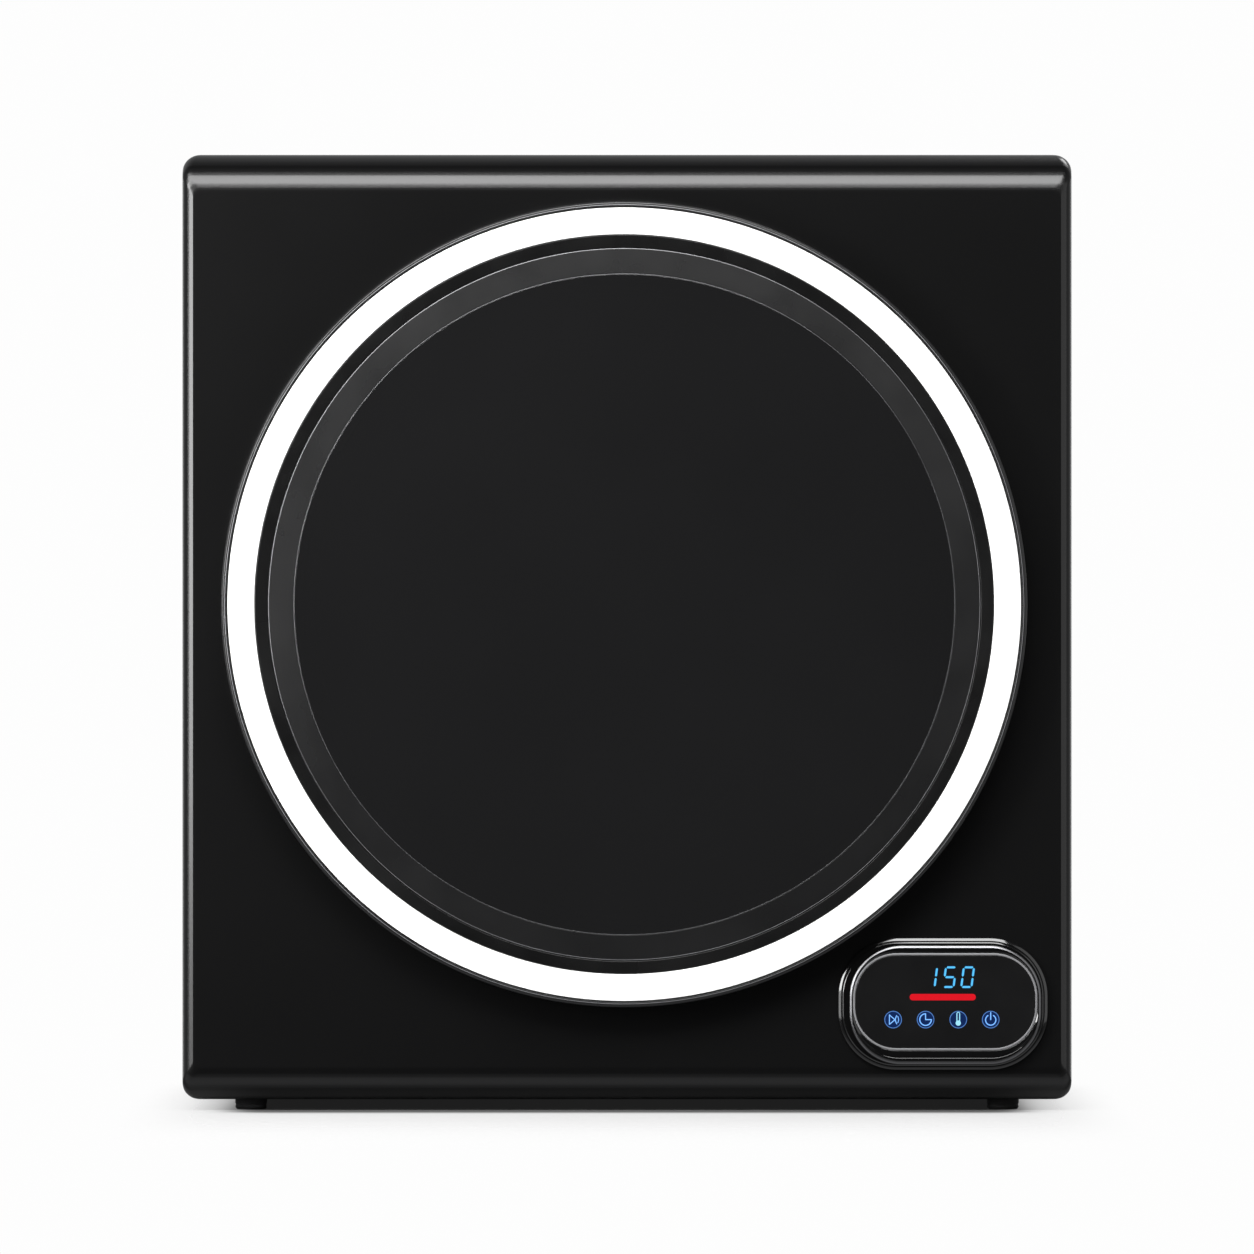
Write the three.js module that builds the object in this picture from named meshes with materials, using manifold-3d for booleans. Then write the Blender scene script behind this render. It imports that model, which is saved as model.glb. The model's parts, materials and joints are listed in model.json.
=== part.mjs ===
// A compact vented clothes dryer, front-loading, with a round hinged door and a touch control pod.
// Millimetres. +Z is up and -Y is the front. The origin is on the floor, under the middle of the box.
// Every separate piece of the machine is its own named mesh.

import * as THREE from "three";
import { mergeVertices } from "three/addons/utils/BufferGeometryUtils.js";
import Module from "manifold-3d";

const wasm = await Module();
wasm.setup();

// ---------------------------------------------------------------- driving dimensions

const GAP = 0.3; // between pieces that touch or are fastened together
const SHEET = 1.5; // folded steel
const CUT = 1; // how far a cutter runs past the face it opens

const cabinet = { width: 490, bottom: 6, top: 527, front: -190, rear: 190, corner: 10 };
const edge = { top: 21, bottom: 19, side: 6, faceCorner: 4 }; // the front panel's rounded edges
const skirtEnd = cabinet.front + 25; // where the front panel stops and the folded panels start
const wrap = { start: skirtEnd + GAP, end: cabinet.rear - SHEET - GAP, fold: 26 };
const foot = { x: 207.8, y: 150, radius: 8.8 };

// Door, drum and fan turn about one horizontal axis, or are centred on it.
const axis = { x: -1.5, z: 279 };

const door = {
  front: -214, // the rim's lip, the foremost point
  floor: -210.5, // the frame's floor that the rings and the window lie on
  back: -193.5,
  outer: 221.6,
  trimOuter: 218.4,
  trimInner: 203.3,
  bezelInner: 196.2,
  ringOuter: 195.8,
  ringInner: 181.7,
  window: 181.3,
  frameInner: 177,
  skirtBack: 213,
  linerInner: 152,
};
const bowl = { rim: 149.5, flange: 170, end: 122.5, tip: -150, wall: 3 };
const hinge = { x: -215, y: -203, pin: 2.2, knuckle: 4, knuckleHalf: 22, lugFrom: 22.5, lugTo: 30 };
const notch = { half: 36, grip: 40 }; // half heights of the hinge notch and the finger grip
const catchX = 191; // the magnet and its strike plate, to the right of the door's centre

const opening = { radius: 166, lip: 1.5 }; // loading opening in the front panel
const frontSupport = { y: -162.9, radius: 169, end: -147 };
const drum = {
  radius: 210,
  wall: 1.2,
  neck: 174,
  front: -159,
  shoulder: -149,
  full: -137,
  back: 96,
  plate: 94,
};
const lifter = { count: 3, base: 46, top: 16, foot: 205.5, tip: 168, from: -120, to: 80 };
const filter = { radius: 78, front: 84, back: 93.6, knob: 74, spokes: 8 };
const rearPlate = { y: 112, inlet: 70, neck: 80 };
const axle = { radius: 8, from: 103.6, to: 178.3, flange: 20, clearance: 0.5 };
const fan = { radius: 92, eye: 55, front: 117, disc: 148, blades: 16, hub: 16, pulley: 40 };
const volute = { start: 100, end: 135, outletLeft: 31.5, outletBottom: -178, y: 154, wall: 2 };
const exhaust = { x: 81, z: 150, radius: 50, wall: 1.5, end: 214 };

const motor = { x: -190, z: 62, radius: 42, from: -55, to: 45, shaft: 6, core: 22 };
const pulley = { drive: 9, fanDrive: 18, beltY: 59, beltWidth: 8, fanBeltY: 160, fanBeltWidth: 5 };
const idler = { x: -110, z: 62, radius: 12, pivotX: -72, pivotZ: 24, armY: 71, armThick: 3 };
const beltThick = 2;

const pod = {
  x: 174,
  z: 59,
  width: 115.3,
  height: 72.5,
  corner: 30,
  proud: 3.7,
  bezel: { x: 175.2, z: 58.5, width: 105.7, height: 65.5, corner: 27, proud: 8.5 },
  window: { x: 175.1, z: 60.3, width: 101.3, height: 53.3, corner: 22.5 },
  tub: { width: 84, height: 40, corner: 8, depth: 16 },
};

const RING = 48; // sides of a large circle
const ROUND = 24; // sides of a small circle

// ---------------------------------------------------------------- colours and materials

const finish = (color, roughness, metalness = 0) =>
  new THREE.MeshStandardMaterial({ color, roughness, metalness });

const look = {
  blackPaint: finish(0x0b0b0c, 0.32),
  blackGloss: finish(0x070708, 0.12),
  blackSatin: finish(0x101012, 0.4),
  darkRing: finish(0x232325, 0.35, 0.3),
  white: finish(0xf2f2f0, 0.35),
  tintedGlass: finish(0x060607, 0.05),
  clearPlastic: finish(0x2a2c2e, 0.1),
  rubber: finish(0x0c0c0c, 0.8),
  greyPlastic: finish(0x55585a, 0.5),
  zinc: finish(0x9a9da0, 0.4, 0.9),
  stainless: finish(0xb5b8ba, 0.28, 1),
  steel: finish(0x7d8084, 0.35, 1),
  felt: finish(0xb8b2a2, 0.95),
  board: finish(0x14532d, 0.5),
  ceramic: finish(0xc9c4b8, 0.7),
};

// ---------------------------------------------------------------- solids

// A closed solid from any geometry whose faces enclose it, turned outwards if they face in.
function solid(geometry) {
  const bare = geometry.index ? geometry.toNonIndexed() : geometry.clone();
  bare.deleteAttribute("normal");
  bare.deleteAttribute("uv");
  const merged = mergeVertices(bare, 1e-4);
  const corners = merged.index.array;
  const triangles = [];
  for (let i = 0; i < corners.length; i += 3) {
    const [a, b, c] = corners.slice(i, i + 3);
    if (a !== b && b !== c && c !== a) triangles.push(a, b, c);
  }
  const build = (order) =>
    new wasm.Manifold(
      new wasm.Mesh({
        numProp: 3,
        vertProperties: merged.attributes.position.array,
        triVerts: new Uint32Array(order),
      }),
    );
  const made = build(triangles);
  return made.volume() < 0 ? build(triangles.reverse()) : made;
}

// A ring or disc about the Y axis, from (radius, y) points; one that leaves the axis closes on itself.
function turned(points, sides = RING) {
  const profile = points.map(([r, y]) => new THREE.Vector2(r, y));
  if (points[0][0] > 0) profile.push(profile[0].clone());
  return solid(new THREE.LatheGeometry(profile, sides));
}

const cylinder = (radius, from, to, sides = ROUND) =>
  turned([[0, from], [radius, from], [radius, to], [0, to]], sides);

const tube = (inner, outer, from, to, sides = ROUND) =>
  turned([[inner, from], [outer, from], [outer, to], [inner, to]], sides);

function box(x0, x1, y0, y1, z0, z1) {
  const geometry = new THREE.BoxGeometry(x1 - x0, y1 - y0, z1 - z0);
  return solid(geometry).translate([(x0 + x1) / 2, (y0 + y1) / 2, (z0 + z1) / 2]);
}

// A plate or bar whose outline lies in the XZ plane, running along Y.
function alongY(outline, from, to) {
  const shape = new THREE.Shape(outline.map(([x, z]) => new THREE.Vector2(x, z)));
  const geometry = new THREE.ExtrudeGeometry(shape, { depth: to - from, bevelEnabled: false });
  return solid(geometry.rotateX(Math.PI / 2)).translate([0, to, 0]);
}

// A bar whose outline lies in the XY plane, running up along Z.
function alongZ(outline, from, to) {
  const shape = new THREE.Shape(outline.map(([x, y]) => new THREE.Vector2(x, y)));
  const geometry = new THREE.ExtrudeGeometry(shape, { depth: to - from, bevelEnabled: false });
  return solid(geometry).translate([0, 0, from]);
}

const arc = (cx, cz, radius, fromDeg, toDeg, steps) =>
  Array.from({ length: steps + 1 }, (_, i) => {
    const angle = THREE.MathUtils.degToRad(fromDeg + ((toDeg - fromDeg) * i) / steps);
    return [cx + radius * Math.cos(angle), cz + radius * Math.sin(angle)];
  });

// A rectangle with round corners in the XZ plane, anticlockwise from its lower right.
function roundedRect(left, right, low, high, radius, steps = 4) {
  return [
    ...arc(right - radius, low + radius, radius, -90, 0, steps),
    ...arc(right - radius, high - radius, radius, 0, 90, steps),
    ...arc(left + radius, high - radius, radius, 90, 180, steps),
    ...arc(left + radius, low + radius, radius, 180, 270, steps),
  ];
}

const centredRect = ({ x = 0, z = 0, width, height, corner }, grow = 0, steps = 5) =>
  roundedRect(
    x - width / 2 - grow,
    x + width / 2 + grow,
    z - height / 2 - grow,
    z + height / 2 + grow,
    corner + grow,
    steps,
  );

// A solid through outlines of the same number of points, each at its own y.
function lofted(sections) {
  const count = sections[0].outline.length;
  const corners = sections.flatMap(({ outline, y }) => outline.map(([x, z]) => [x, y, z]));
  const faces = [];
  for (let s = 0; s + 1 < sections.length; s++) {
    for (let i = 0; i < count; i++) {
      const a = s * count + i;
      const b = s * count + ((i + 1) % count);
      faces.push([a, a + count, b], [b, a + count, b + count]);
    }
  }
  const last = (sections.length - 1) * count;
  for (let i = 1; i + 1 < count; i++) {
    faces.push([0, i, i + 1], [last, last + i + 1, last + i]);
  }
  const geometry = new THREE.BufferGeometry();
  const flat = faces.flat().flatMap((corner) => corners[corner]);
  geometry.setAttribute("position", new THREE.Float32BufferAttribute(flat, 3));
  return solid(geometry);
}

// A closed belt round the circles, which it keeps outside of: the hull of the circles grown by offset.
function beltOutline(circles, offset, steps = 64) {
  const points = circles.flatMap(({ x, z, radius }) => arc(x, z, radius + offset, 0, 360, steps).slice(1));
  points.sort((a, b) => a[0] - b[0] || a[1] - b[1]);
  const turn = (o, a, b) => (a[0] - o[0]) * (b[1] - o[1]) - (a[1] - o[1]) * (b[0] - o[0]);
  const half = (list) => {
    const chain = [];
    for (const p of list) {
      while (chain.length > 1 && turn(chain.at(-2), chain.at(-1), p) <= 0) chain.pop();
      chain.push(p);
    }
    return chain.slice(0, -1);
  };
  return [...half(points), ...half(points.reverse())];
}

const about = (shape, degrees) => shape.rotate([0, degrees, 0]);
const union = (first, ...rest) => rest.reduce((made, next) => made.add(next), first);
const less = (first, ...rest) => rest.reduce((made, next) => made.subtract(next), first);

// ---------------------------------------------------------------- the scene graph

const dryer = new THREE.Group();
const axisGroup = new THREE.Group();
const motorGroup = new THREE.Group();
axisGroup.position.set(axis.x, 0, axis.z);
motorGroup.position.set(motor.x, 0, motor.z);
dryer.add(axisGroup, motorGroup);

function piece(group, name, shape, material, x = 0, y = 0, z = 0) {
  const { vertProperties, triVerts } = shape.getMesh();
  const geometry = new THREE.BufferGeometry();
  geometry.setAttribute("position", new THREE.Float32BufferAttribute(vertProperties, 3));
  geometry.setIndex(Array.from(triVerts));
  geometry.computeVertexNormals();
  const mesh = new THREE.Mesh(geometry, material);
  mesh.name = name;
  mesh.position.set(x, y, z);
  group.add(mesh);
}

// ---------------------------------------------------------------- cabinet

// How far an edge of this radius has curved in from its full size, at a depth behind the front face.
const curvedIn = (radius, depth) =>
  depth >= radius ? 0 : radius - Math.sqrt(radius ** 2 - (radius - depth) ** 2);

function panelSection(depth, offset) {
  const inset = (radius) => offset + curvedIn(radius - offset, depth - offset);
  const corner = edge.faceCorner + (cabinet.corner - edge.faceCorner) * Math.min(1, depth / edge.top);
  const outline = roundedRect(
    -cabinet.width / 2 + inset(edge.side),
    cabinet.width / 2 - inset(edge.side),
    cabinet.bottom + inset(edge.bottom),
    cabinet.top - inset(edge.top),
    corner - offset,
  );
  return { outline, y: cabinet.front + depth };
}

function frontPanel() {
  const depths = [0, 1.5, 5, 11, edge.top];
  const end = skirtEnd - cabinet.front;
  const outer = lofted([...depths, end].map((d) => panelSection(d, 0)));
  const inner = lofted([...depths.map((d) => d + SHEET), end + CUT].map((d) => panelSection(d, SHEET)));
  const lip = tube(opening.radius - opening.lip, opening.radius, cabinet.front, skirtEnd, RING);
  const hole = cylinder(opening.radius - GAP, cabinet.front - CUT, skirtEnd, RING);
  const magnetHole = cylinder(9.3, cabinet.front - CUT, skirtEnd).translate([catchX, 0, 0]);
  const at = [axis.x, 0, axis.z];
  const tub = centredRect({ x: pod.x, z: pod.z, ...pod.tub }, 2 * GAP);
  const podHole = alongY(tub, cabinet.front - CUT, skirtEnd);
  const shell = less(outer, inner, hole.translate(at), magnetHole.translate(at), podHole);
  return union(shell, lip.translate(at));
}

// The top cover and the base pan are the same fold, one turned over.
function foldedPan(flat, isTop) {
  const half = cabinet.width / 2;
  const up = isTop ? -1 : 1;
  const outline = (inset) => {
    const radius = cabinet.corner - inset;
    const z = flat + up * (inset + radius);
    const corner = (side) => {
      const x = side * (half - inset - radius);
      return Array.from({ length: 5 }, (_, i) => {
        const angle = (Math.PI / 2) * (i / 4);
        return [x + side * radius * Math.cos(angle), z - up * radius * Math.sin(angle)];
      });
    };
    const end = flat + up * wrap.fold;
    return [[half - inset, end], ...corner(1), ...corner(-1).reverse(), [-half + inset, end]];
  };
  return alongY([...outline(0), ...outline(SHEET).reverse()], wrap.start, wrap.end);
}

function sidePanel(side) {
  const outer = (side * cabinet.width) / 2;
  const inner = outer - side * SHEET;
  const flange = outer - side * 14;
  const outline = [
    [outer, wrap.start],
    [outer, wrap.end],
    [flange, wrap.end],
    [flange, wrap.end - SHEET],
    [inner, wrap.end - SHEET],
    [inner, wrap.start + SHEET],
    [flange, wrap.start + SHEET],
    [flange, wrap.start],
  ];
  const low = cabinet.bottom + wrap.fold + GAP;
  const high = cabinet.top - wrap.fold - GAP;
  return alongZ(side > 0 ? outline : outline.reverse(), low, high);
}

const grille = { left: 34, right: 146, low: 418, pitch: 14, slot: 6, count: 6 };
const gland = { x: 195, z: 45, radius: 8 };

function rearPanel() {
  const half = cabinet.width / 2;
  const outline = roundedRect(-half, half, cabinet.bottom, cabinet.top, cabinet.corner);
  const through = (shape, x, z) => shape.translate([x, 0, z]);
  const from = cabinet.rear - SHEET - CUT;
  const to = cabinet.rear + CUT;
  const slots = Array.from({ length: grille.count }, (_, i) => {
    const low = grille.low + i * grille.pitch;
    return box(grille.left, grille.right, from, to, low, low + grille.slot);
  });
  return less(
    alongY(outline, cabinet.rear - SHEET, cabinet.rear),
    through(cylinder(exhaust.radius + GAP, from, to, 32), exhaust.x, exhaust.z),
    through(cylinder(gland.radius, from, to, 16), gland.x, gland.z),
    ...slots,
  );
}

// A stiff sheet wall across the cabinet, with clear corners.
function bulkhead(y) {
  const half = cabinet.width / 2 - SHEET - 1;
  const low = cabinet.bottom + SHEET + 0.7;
  const high = cabinet.top - SHEET - 0.7;
  return alongY(roundedRect(-half, half, low, high, cabinet.corner + 2), y, y + SHEET);
}

function frontBulkhead() {
  const at = [axis.x, 0, axis.z];
  const { y, radius, end } = frontSupport;
  const hole = cylinder(radius, y - CUT, y + SHEET + CUT, RING);
  const ledge = tube(radius, radius + SHEET, y, end, RING);
  return union(less(bulkhead(y), hole.translate(at)), ledge.translate(at));
}

function buildCabinet() {
  piece(dryer, "front_panel", frontPanel(), look.blackPaint);
  piece(dryer, "top_cover", foldedPan(cabinet.top, true), look.blackPaint);
  piece(dryer, "base_pan", foldedPan(cabinet.bottom, false), look.blackPaint);
  piece(dryer, "left_side_panel", sidePanel(-1), look.blackPaint);
  piece(dryer, "right_side_panel", sidePanel(1), look.blackPaint);
  piece(dryer, "rear_panel", rearPanel(), look.zinc);
  piece(dryer, "front_bulkhead", frontBulkhead(), look.zinc);
  const ledge = frontSupport.radius + SHEET;
  const felt = tube(ledge + GAP, drum.neck - 2 * GAP, -161, frontSupport.end - GAP, RING);
  piece(axisGroup, "front_felt_ring", felt, look.felt);

  const profile = [[0, 0], [foot.radius - 1, 0], [foot.radius, 1], [foot.radius, 5.7], [0, 5.7]];
  const rubberFoot = turned(profile, 20).rotate([90, 0, 0]);
  for (const [end, y] of [["front", -foot.y], ["rear", foot.y]]) {
    piece(dryer, `foot_${end}_left`, rubberFoot, look.rubber, -foot.x, y, 0);
    piece(dryer, `foot_${end}_right`, rubberFoot, look.rubber, foot.x, y, 0);
  }
}

// ---------------------------------------------------------------- rear air path

function rearBulkhead() {
  const y = rearPlate.y;
  const hole = (radius, x, z) => cylinder(radius, y - CUT, y + SHEET + CUT, 32).translate([x, 0, z]);
  const fanWay = hole(rearPlate.inlet, axis.x, axis.z);
  const shaftWay = hole(14, motor.x, motor.z);
  const heaterWay = box(40, 100, y - CUT, y + SHEET + CUT, 417, 444);
  const neck = tube(rearPlate.neck, rearPlate.neck + SHEET, drum.back + 2, y, 40);
  return union(less(bulkhead(y), fanWay, shaftWay, heaterWay), neck.translate([axis.x, 0, axis.z]));
}

// The outline of the fan's scroll: it widens along the turn and leaves straight down on the right.
function scrollOutline(inset) {
  const tongueDeg = -THREE.MathUtils.radToDeg(Math.acos(volute.outletLeft / volute.start));
  const sweep = 360 + tongueDeg;
  const steps = 28;
  const spiral = Array.from({ length: steps + 1 }, (_, i) => {
    const share = i / steps;
    const angle = THREE.MathUtils.degToRad(tongueDeg - sweep * share);
    const radius = volute.start + (volute.end - volute.start) * share - inset;
    return [radius * Math.cos(angle), radius * Math.sin(angle)];
  });
  const bottom = volute.outletBottom + inset;
  const outline = [...spiral, [volute.end - inset, bottom], [volute.outletLeft + inset, bottom]];
  return outline.reverse();
}

function blowerHousing() {
  const front = rearPlate.y + SHEET + GAP;
  const back = volute.y + volute.wall;
  const hub = cylinder(22, volute.y - CUT, back + CUT);
  const outlet = cylinder(exhaust.radius - exhaust.wall, volute.y - CUT, back + CUT, 32);
  return less(
    alongY(scrollOutline(0), front, back),
    alongY(scrollOutline(volute.wall), front - CUT, volute.y),
    hub,
    outlet.translate([exhaust.x - axis.x, 0, exhaust.z - axis.z]),
  );
}

function fanWheel() {
  const disc = cylinder(fan.radius, fan.disc, fan.disc + 2, 40);
  const ring = tube(fan.radius - 5, fan.radius, fan.front, fan.front + 2, 40);
  const hub = cylinder(fan.hub, fan.disc - 14, 170);
  const blades = Array.from({ length: fan.blades }, (_, i) => {
    const blade = box(fan.eye, fan.radius - 1, fan.front + 1, fan.disc + 1, -0.8, 0.8);
    return about(blade, (360 / fan.blades) * i);
  });
  const { fanBeltY: y, fanBeltWidth: width } = pulley;
  const wheel = turned(
    [
      [0, y - 2.5],
      [fan.pulley + 3, y - 2.5],
      [fan.pulley, y],
      [fan.pulley, y + width],
      [fan.pulley + 3, y + width + 2.5],
      [0, y + width + 2.5],
    ],
    40,
  );
  const bore = cylinder(axle.radius + axle.clearance, fan.disc - 20, 175);
  return less(union(disc, ring, hub, ...blades, wheel), bore);
}

// A channel across the back of the cabinet that carries the axle.
function crossbar() {
  const half = cabinet.width / 2 - SHEET - 2.5;
  const [web, back, tall] = [171.8, 186, 22];
  const outer = box(-half, half, web, back, -tall, tall);
  const inner = box(-half - CUT, half + CUT, web + 2, back + CUT, -tall + 2, tall - 2);
  return less(outer, inner, cylinder(axle.radius + GAP, web - CUT, web + 2 + CUT));
}

const heater = { left: 30, right: 150, low: 412, high: 505, back: 170 };

function heaterHousing() {
  const front = rearPlate.y + SHEET + GAP;
  const { left, right, low, high, back } = heater;
  return less(
    box(left, right, front, back, low, high),
    box(left + SHEET, right - SHEET, front + SHEET, back + CUT, low + SHEET, high - SHEET),
    box(42, 98, front - CUT, front + SHEET + CUT, 419, 442),
  );
}

function heaterElement() {
  const inset = SHEET + GAP;
  const block = box(heater.left + inset, heater.right - inset, 122, 158, 452, 474);
  const slots = Array.from({ length: 9 }, (_, i) => {
    const x = 47 + i * 10;
    return box(x, x + 6, 121, 152, 451, 475);
  });
  return less(block, ...slots);
}

function buildAirPath() {
  piece(dryer, "rear_bulkhead", rearBulkhead(), look.zinc);
  piece(axisGroup, "rear_felt_ring", tube(200, 213, drum.back + 1.5, rearPlate.y - GAP, RING), look.felt);
  piece(axisGroup, "blower_housing", blowerHousing(), look.greyPlastic);
  piece(axisGroup, "fan_wheel", fanWheel(), look.greyPlastic);
  piece(axisGroup, "rear_crossbar", crossbar(), look.zinc);
  const { radius, from, to, flange } = axle;
  const axleProfile = [[0, from], [radius, from], [radius, to - 4], [flange, to - 4], [flange, to], [0, to]];
  piece(axisGroup, "rear_axle", turned(axleProfile, ROUND), look.steel);
  piece(dryer, "heater_housing", heaterHousing(), look.zinc);
  piece(dryer, "heater_element", heaterElement(), look.ceramic);
  const cutOut = turned([[0, 0], [10, 0], [10, 3], [6, 3], [6, 9], [0, 9]], 16).rotate([0, 0, 90]);
  piece(dryer, "thermal_cutout", cutOut, look.zinc, heater.left - GAP, 142, 470);

  const { radius: outer, wall, end } = exhaust;
  const inner = outer - wall;
  const flangeAt = cabinet.rear + GAP;
  const collar = turned(
    [
      [inner, 156.5],
      [outer, 156.5],
      [outer, flangeAt],
      [60, flangeAt],
      [60, flangeAt + 2],
      [outer, flangeAt + 2],
      [outer, end - 5],
      [outer - 0.6, end],
      [inner, end],
    ],
    32,
  );
  piece(dryer, "exhaust_collar", collar, look.greyPlastic, exhaust.x, 0, exhaust.z);

  const [bore, neck, rim] = [4.5, gland.radius - 0.4, gland.radius + 3];
  const bush = turned(
    [
      [bore, 184],
      [neck, 184],
      [neck, flangeAt],
      [rim, flangeAt],
      [rim - 1.5, flangeAt + 3],
      [bore, flangeAt + 3],
    ],
    20,
  );
  piece(dryer, "cord_gland", bush, look.rubber, gland.x, 0, gland.z);
}

// ---------------------------------------------------------------- drum

function drumShell() {
  const { radius, wall, neck, front, shoulder, full, back } = drum;
  return turned([
    [neck, front],
    [neck + wall, front],
    [neck + wall, shoulder - 1],
    [radius, full - 1],
    [radius, back],
    [radius - wall, back],
    [radius - wall, full],
    [neck, shoulder],
  ]);
}

function drumBack() {
  const { radius, wall, plate } = drum;
  const hole = (holeRadius, at, degrees) =>
    about(cylinder(holeRadius, plate - CUT, plate + 1.5 + CUT, 8).translate([at, 0, 0]), degrees);
  const inlets = Array.from({ length: 24 }, (_, i) => hole(9, 150, i * 15));
  const outlets = Array.from({ length: 8 }, (_, i) => hole(12, 52, i * 45));
  return less(cylinder(radius - wall - 1.2, plate, plate + 1.5, RING), ...inlets, ...outlets);
}

function drumLifter() {
  const { base, top, foot: low, tip, from, to } = lifter;
  const outline = [
    [-base / 2, -low],
    [base / 2, -low],
    [top / 2 + 2, -tip - 3],
    [top / 2 - 3, -tip],
    [-top / 2 + 3, -tip],
    [-top / 2 - 2, -tip - 3],
  ];
  return alongY(outline, from, to);
}

function drumHub() {
  const face = drum.plate + 1.5 + GAP;
  const arms = [90, 210, 330].map((deg) => about(box(0, 76, face, face + 7, -9, 9), deg));
  const boss = turned([[0, face], [30, face], [22, 119], [0, 119]]);
  const seat = cylinder(14 + GAP, 103, 120);
  return less(union(boss, ...arms), seat);
}

function lintFilter() {
  const { radius, front, back, knob, spokes } = filter;
  const frame = tube(radius - 8, radius, front, back, 40);
  const cloth = cylinder(radius - 4, back - 1.5, back - 0.3, 40);
  const centre = turned([[0, knob], [12, knob], [15, front], [15, back - 1], [0, back - 1]]);
  const bars = Array.from({ length: spokes }, (_, i) =>
    about(box(0, radius - 4, front, back - 1, -2, 2), (360 / spokes) * i),
  );
  return union(frame, cloth, centre, ...bars);
}

function buildDrum() {
  piece(axisGroup, "drum_shell", drumShell(), look.stainless);
  piece(axisGroup, "drum_back", drumBack(), look.stainless);
  for (let i = 0; i < lifter.count; i++) {
    const turnedLifter = about(drumLifter(), (360 / lifter.count) * i);
    piece(axisGroup, `lifter_${i + 1}`, turnedLifter, look.greyPlastic);
  }
  piece(axisGroup, "drum_hub", drumHub(), look.steel);
  piece(axisGroup, "drum_bearing", tube(axle.radius + axle.clearance, 14, 104, 118), look.steel);
  piece(axisGroup, "lint_filter", lintFilter(), look.greyPlastic);
}

// ---------------------------------------------------------------- motor and belts

function motorBody() {
  const { radius, from, to, shaft, core } = motor;
  const bore = shaft + 0.6;
  const room = core + 2;
  return turned(
    [
      [bore, from - 7],
      [30, from - 7],
      [34, from],
      [radius, from],
      [radius, to],
      [34, to],
      [30, to + 7],
      [bore, to + 7],
      [bore, to - 5],
      [room, to - 5],
      [room, from + 5],
      [bore, from + 5],
    ],
    28,
  );
}

function motorShaft() {
  const { shaft, core } = motor;
  return turned(
    [[0, -58], [shaft, -58], [shaft, -45], [core, -45], [core, 35], [shaft, 35], [shaft, 170], [0, 170]],
    20,
  );
}

function groovedPulley(radius, y, width, lip) {
  const bore = motor.shaft + GAP;
  return turned(
    [
      [bore, y - 2],
      [radius + lip, y - 2],
      [radius, y - 0.5],
      [radius, y + width + 0.5],
      [radius + lip, y + width + 2],
      [bore, y + width + 2],
    ],
    24,
  );
}

function motorBracket() {
  const { x, z, radius } = motor;
  const low = cabinet.bottom + SHEET + GAP;
  const plate = box(x - 38, -58, -52, 92, low, low + 2);
  const saddles = [-50, 36].map((y) => box(x - 34, x + 34, y, y + 4, low, z - 20));
  const post = box(idler.pivotX - 9, idler.pivotX + 9, 78, 82, low, idler.pivotZ + 9);
  const pin = cylinder(4, 68, 80, 16).translate([idler.pivotX, 0, idler.pivotZ]);
  const seat = cylinder(radius + GAP, -60, 60, 28).translate([x, 0, z]);
  return union(less(union(plate, ...saddles), seat), post, pin);
}

function idlerArm() {
  const { x, z, pivotX, pivotZ, armY, armThick } = idler;
  const length = Math.hypot(x - pivotX, z - pivotZ);
  const tilt = -THREE.MathUtils.radToDeg(Math.atan2(z - pivotZ, x - pivotX));
  const bar = alongY([...arc(0, 0, 8, 90, 270, 8), ...arc(length, 0, 8, -90, 90, 8)], armY, armY + armThick);
  const spur = cylinder(1.6, armY, armY + 18, 10).translate([23.7, 0, 4.6]);
  const hole = cylinder(4.6, armY - CUT, armY + armThick + CUT, 16);
  const pin = cylinder(3, pulley.beltY - 1.5, armY + 1, 16).translate([length, 0, 0]);
  return about(union(less(bar, hole), pin, spur), tilt);
}

// A spring standing on Z: one coil of round wire.
function coilSpring(radius, wire, height, turns) {
  class Helix extends THREE.Curve {
    getPoint(t, target = new THREE.Vector3()) {
      const angle = 2 * Math.PI * turns * t;
      return target.set(radius * Math.cos(angle), radius * Math.sin(angle), height * t);
    }
  }
  const section = new THREE.Shape().absarc(0, 0, wire, 0, 2 * Math.PI);
  const geometry = new THREE.ExtrudeGeometry(section, {
    extrudePath: new Helix(),
    steps: turns * 9,
    curveSegments: 3,
  });
  return solid(geometry);
}

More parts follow.
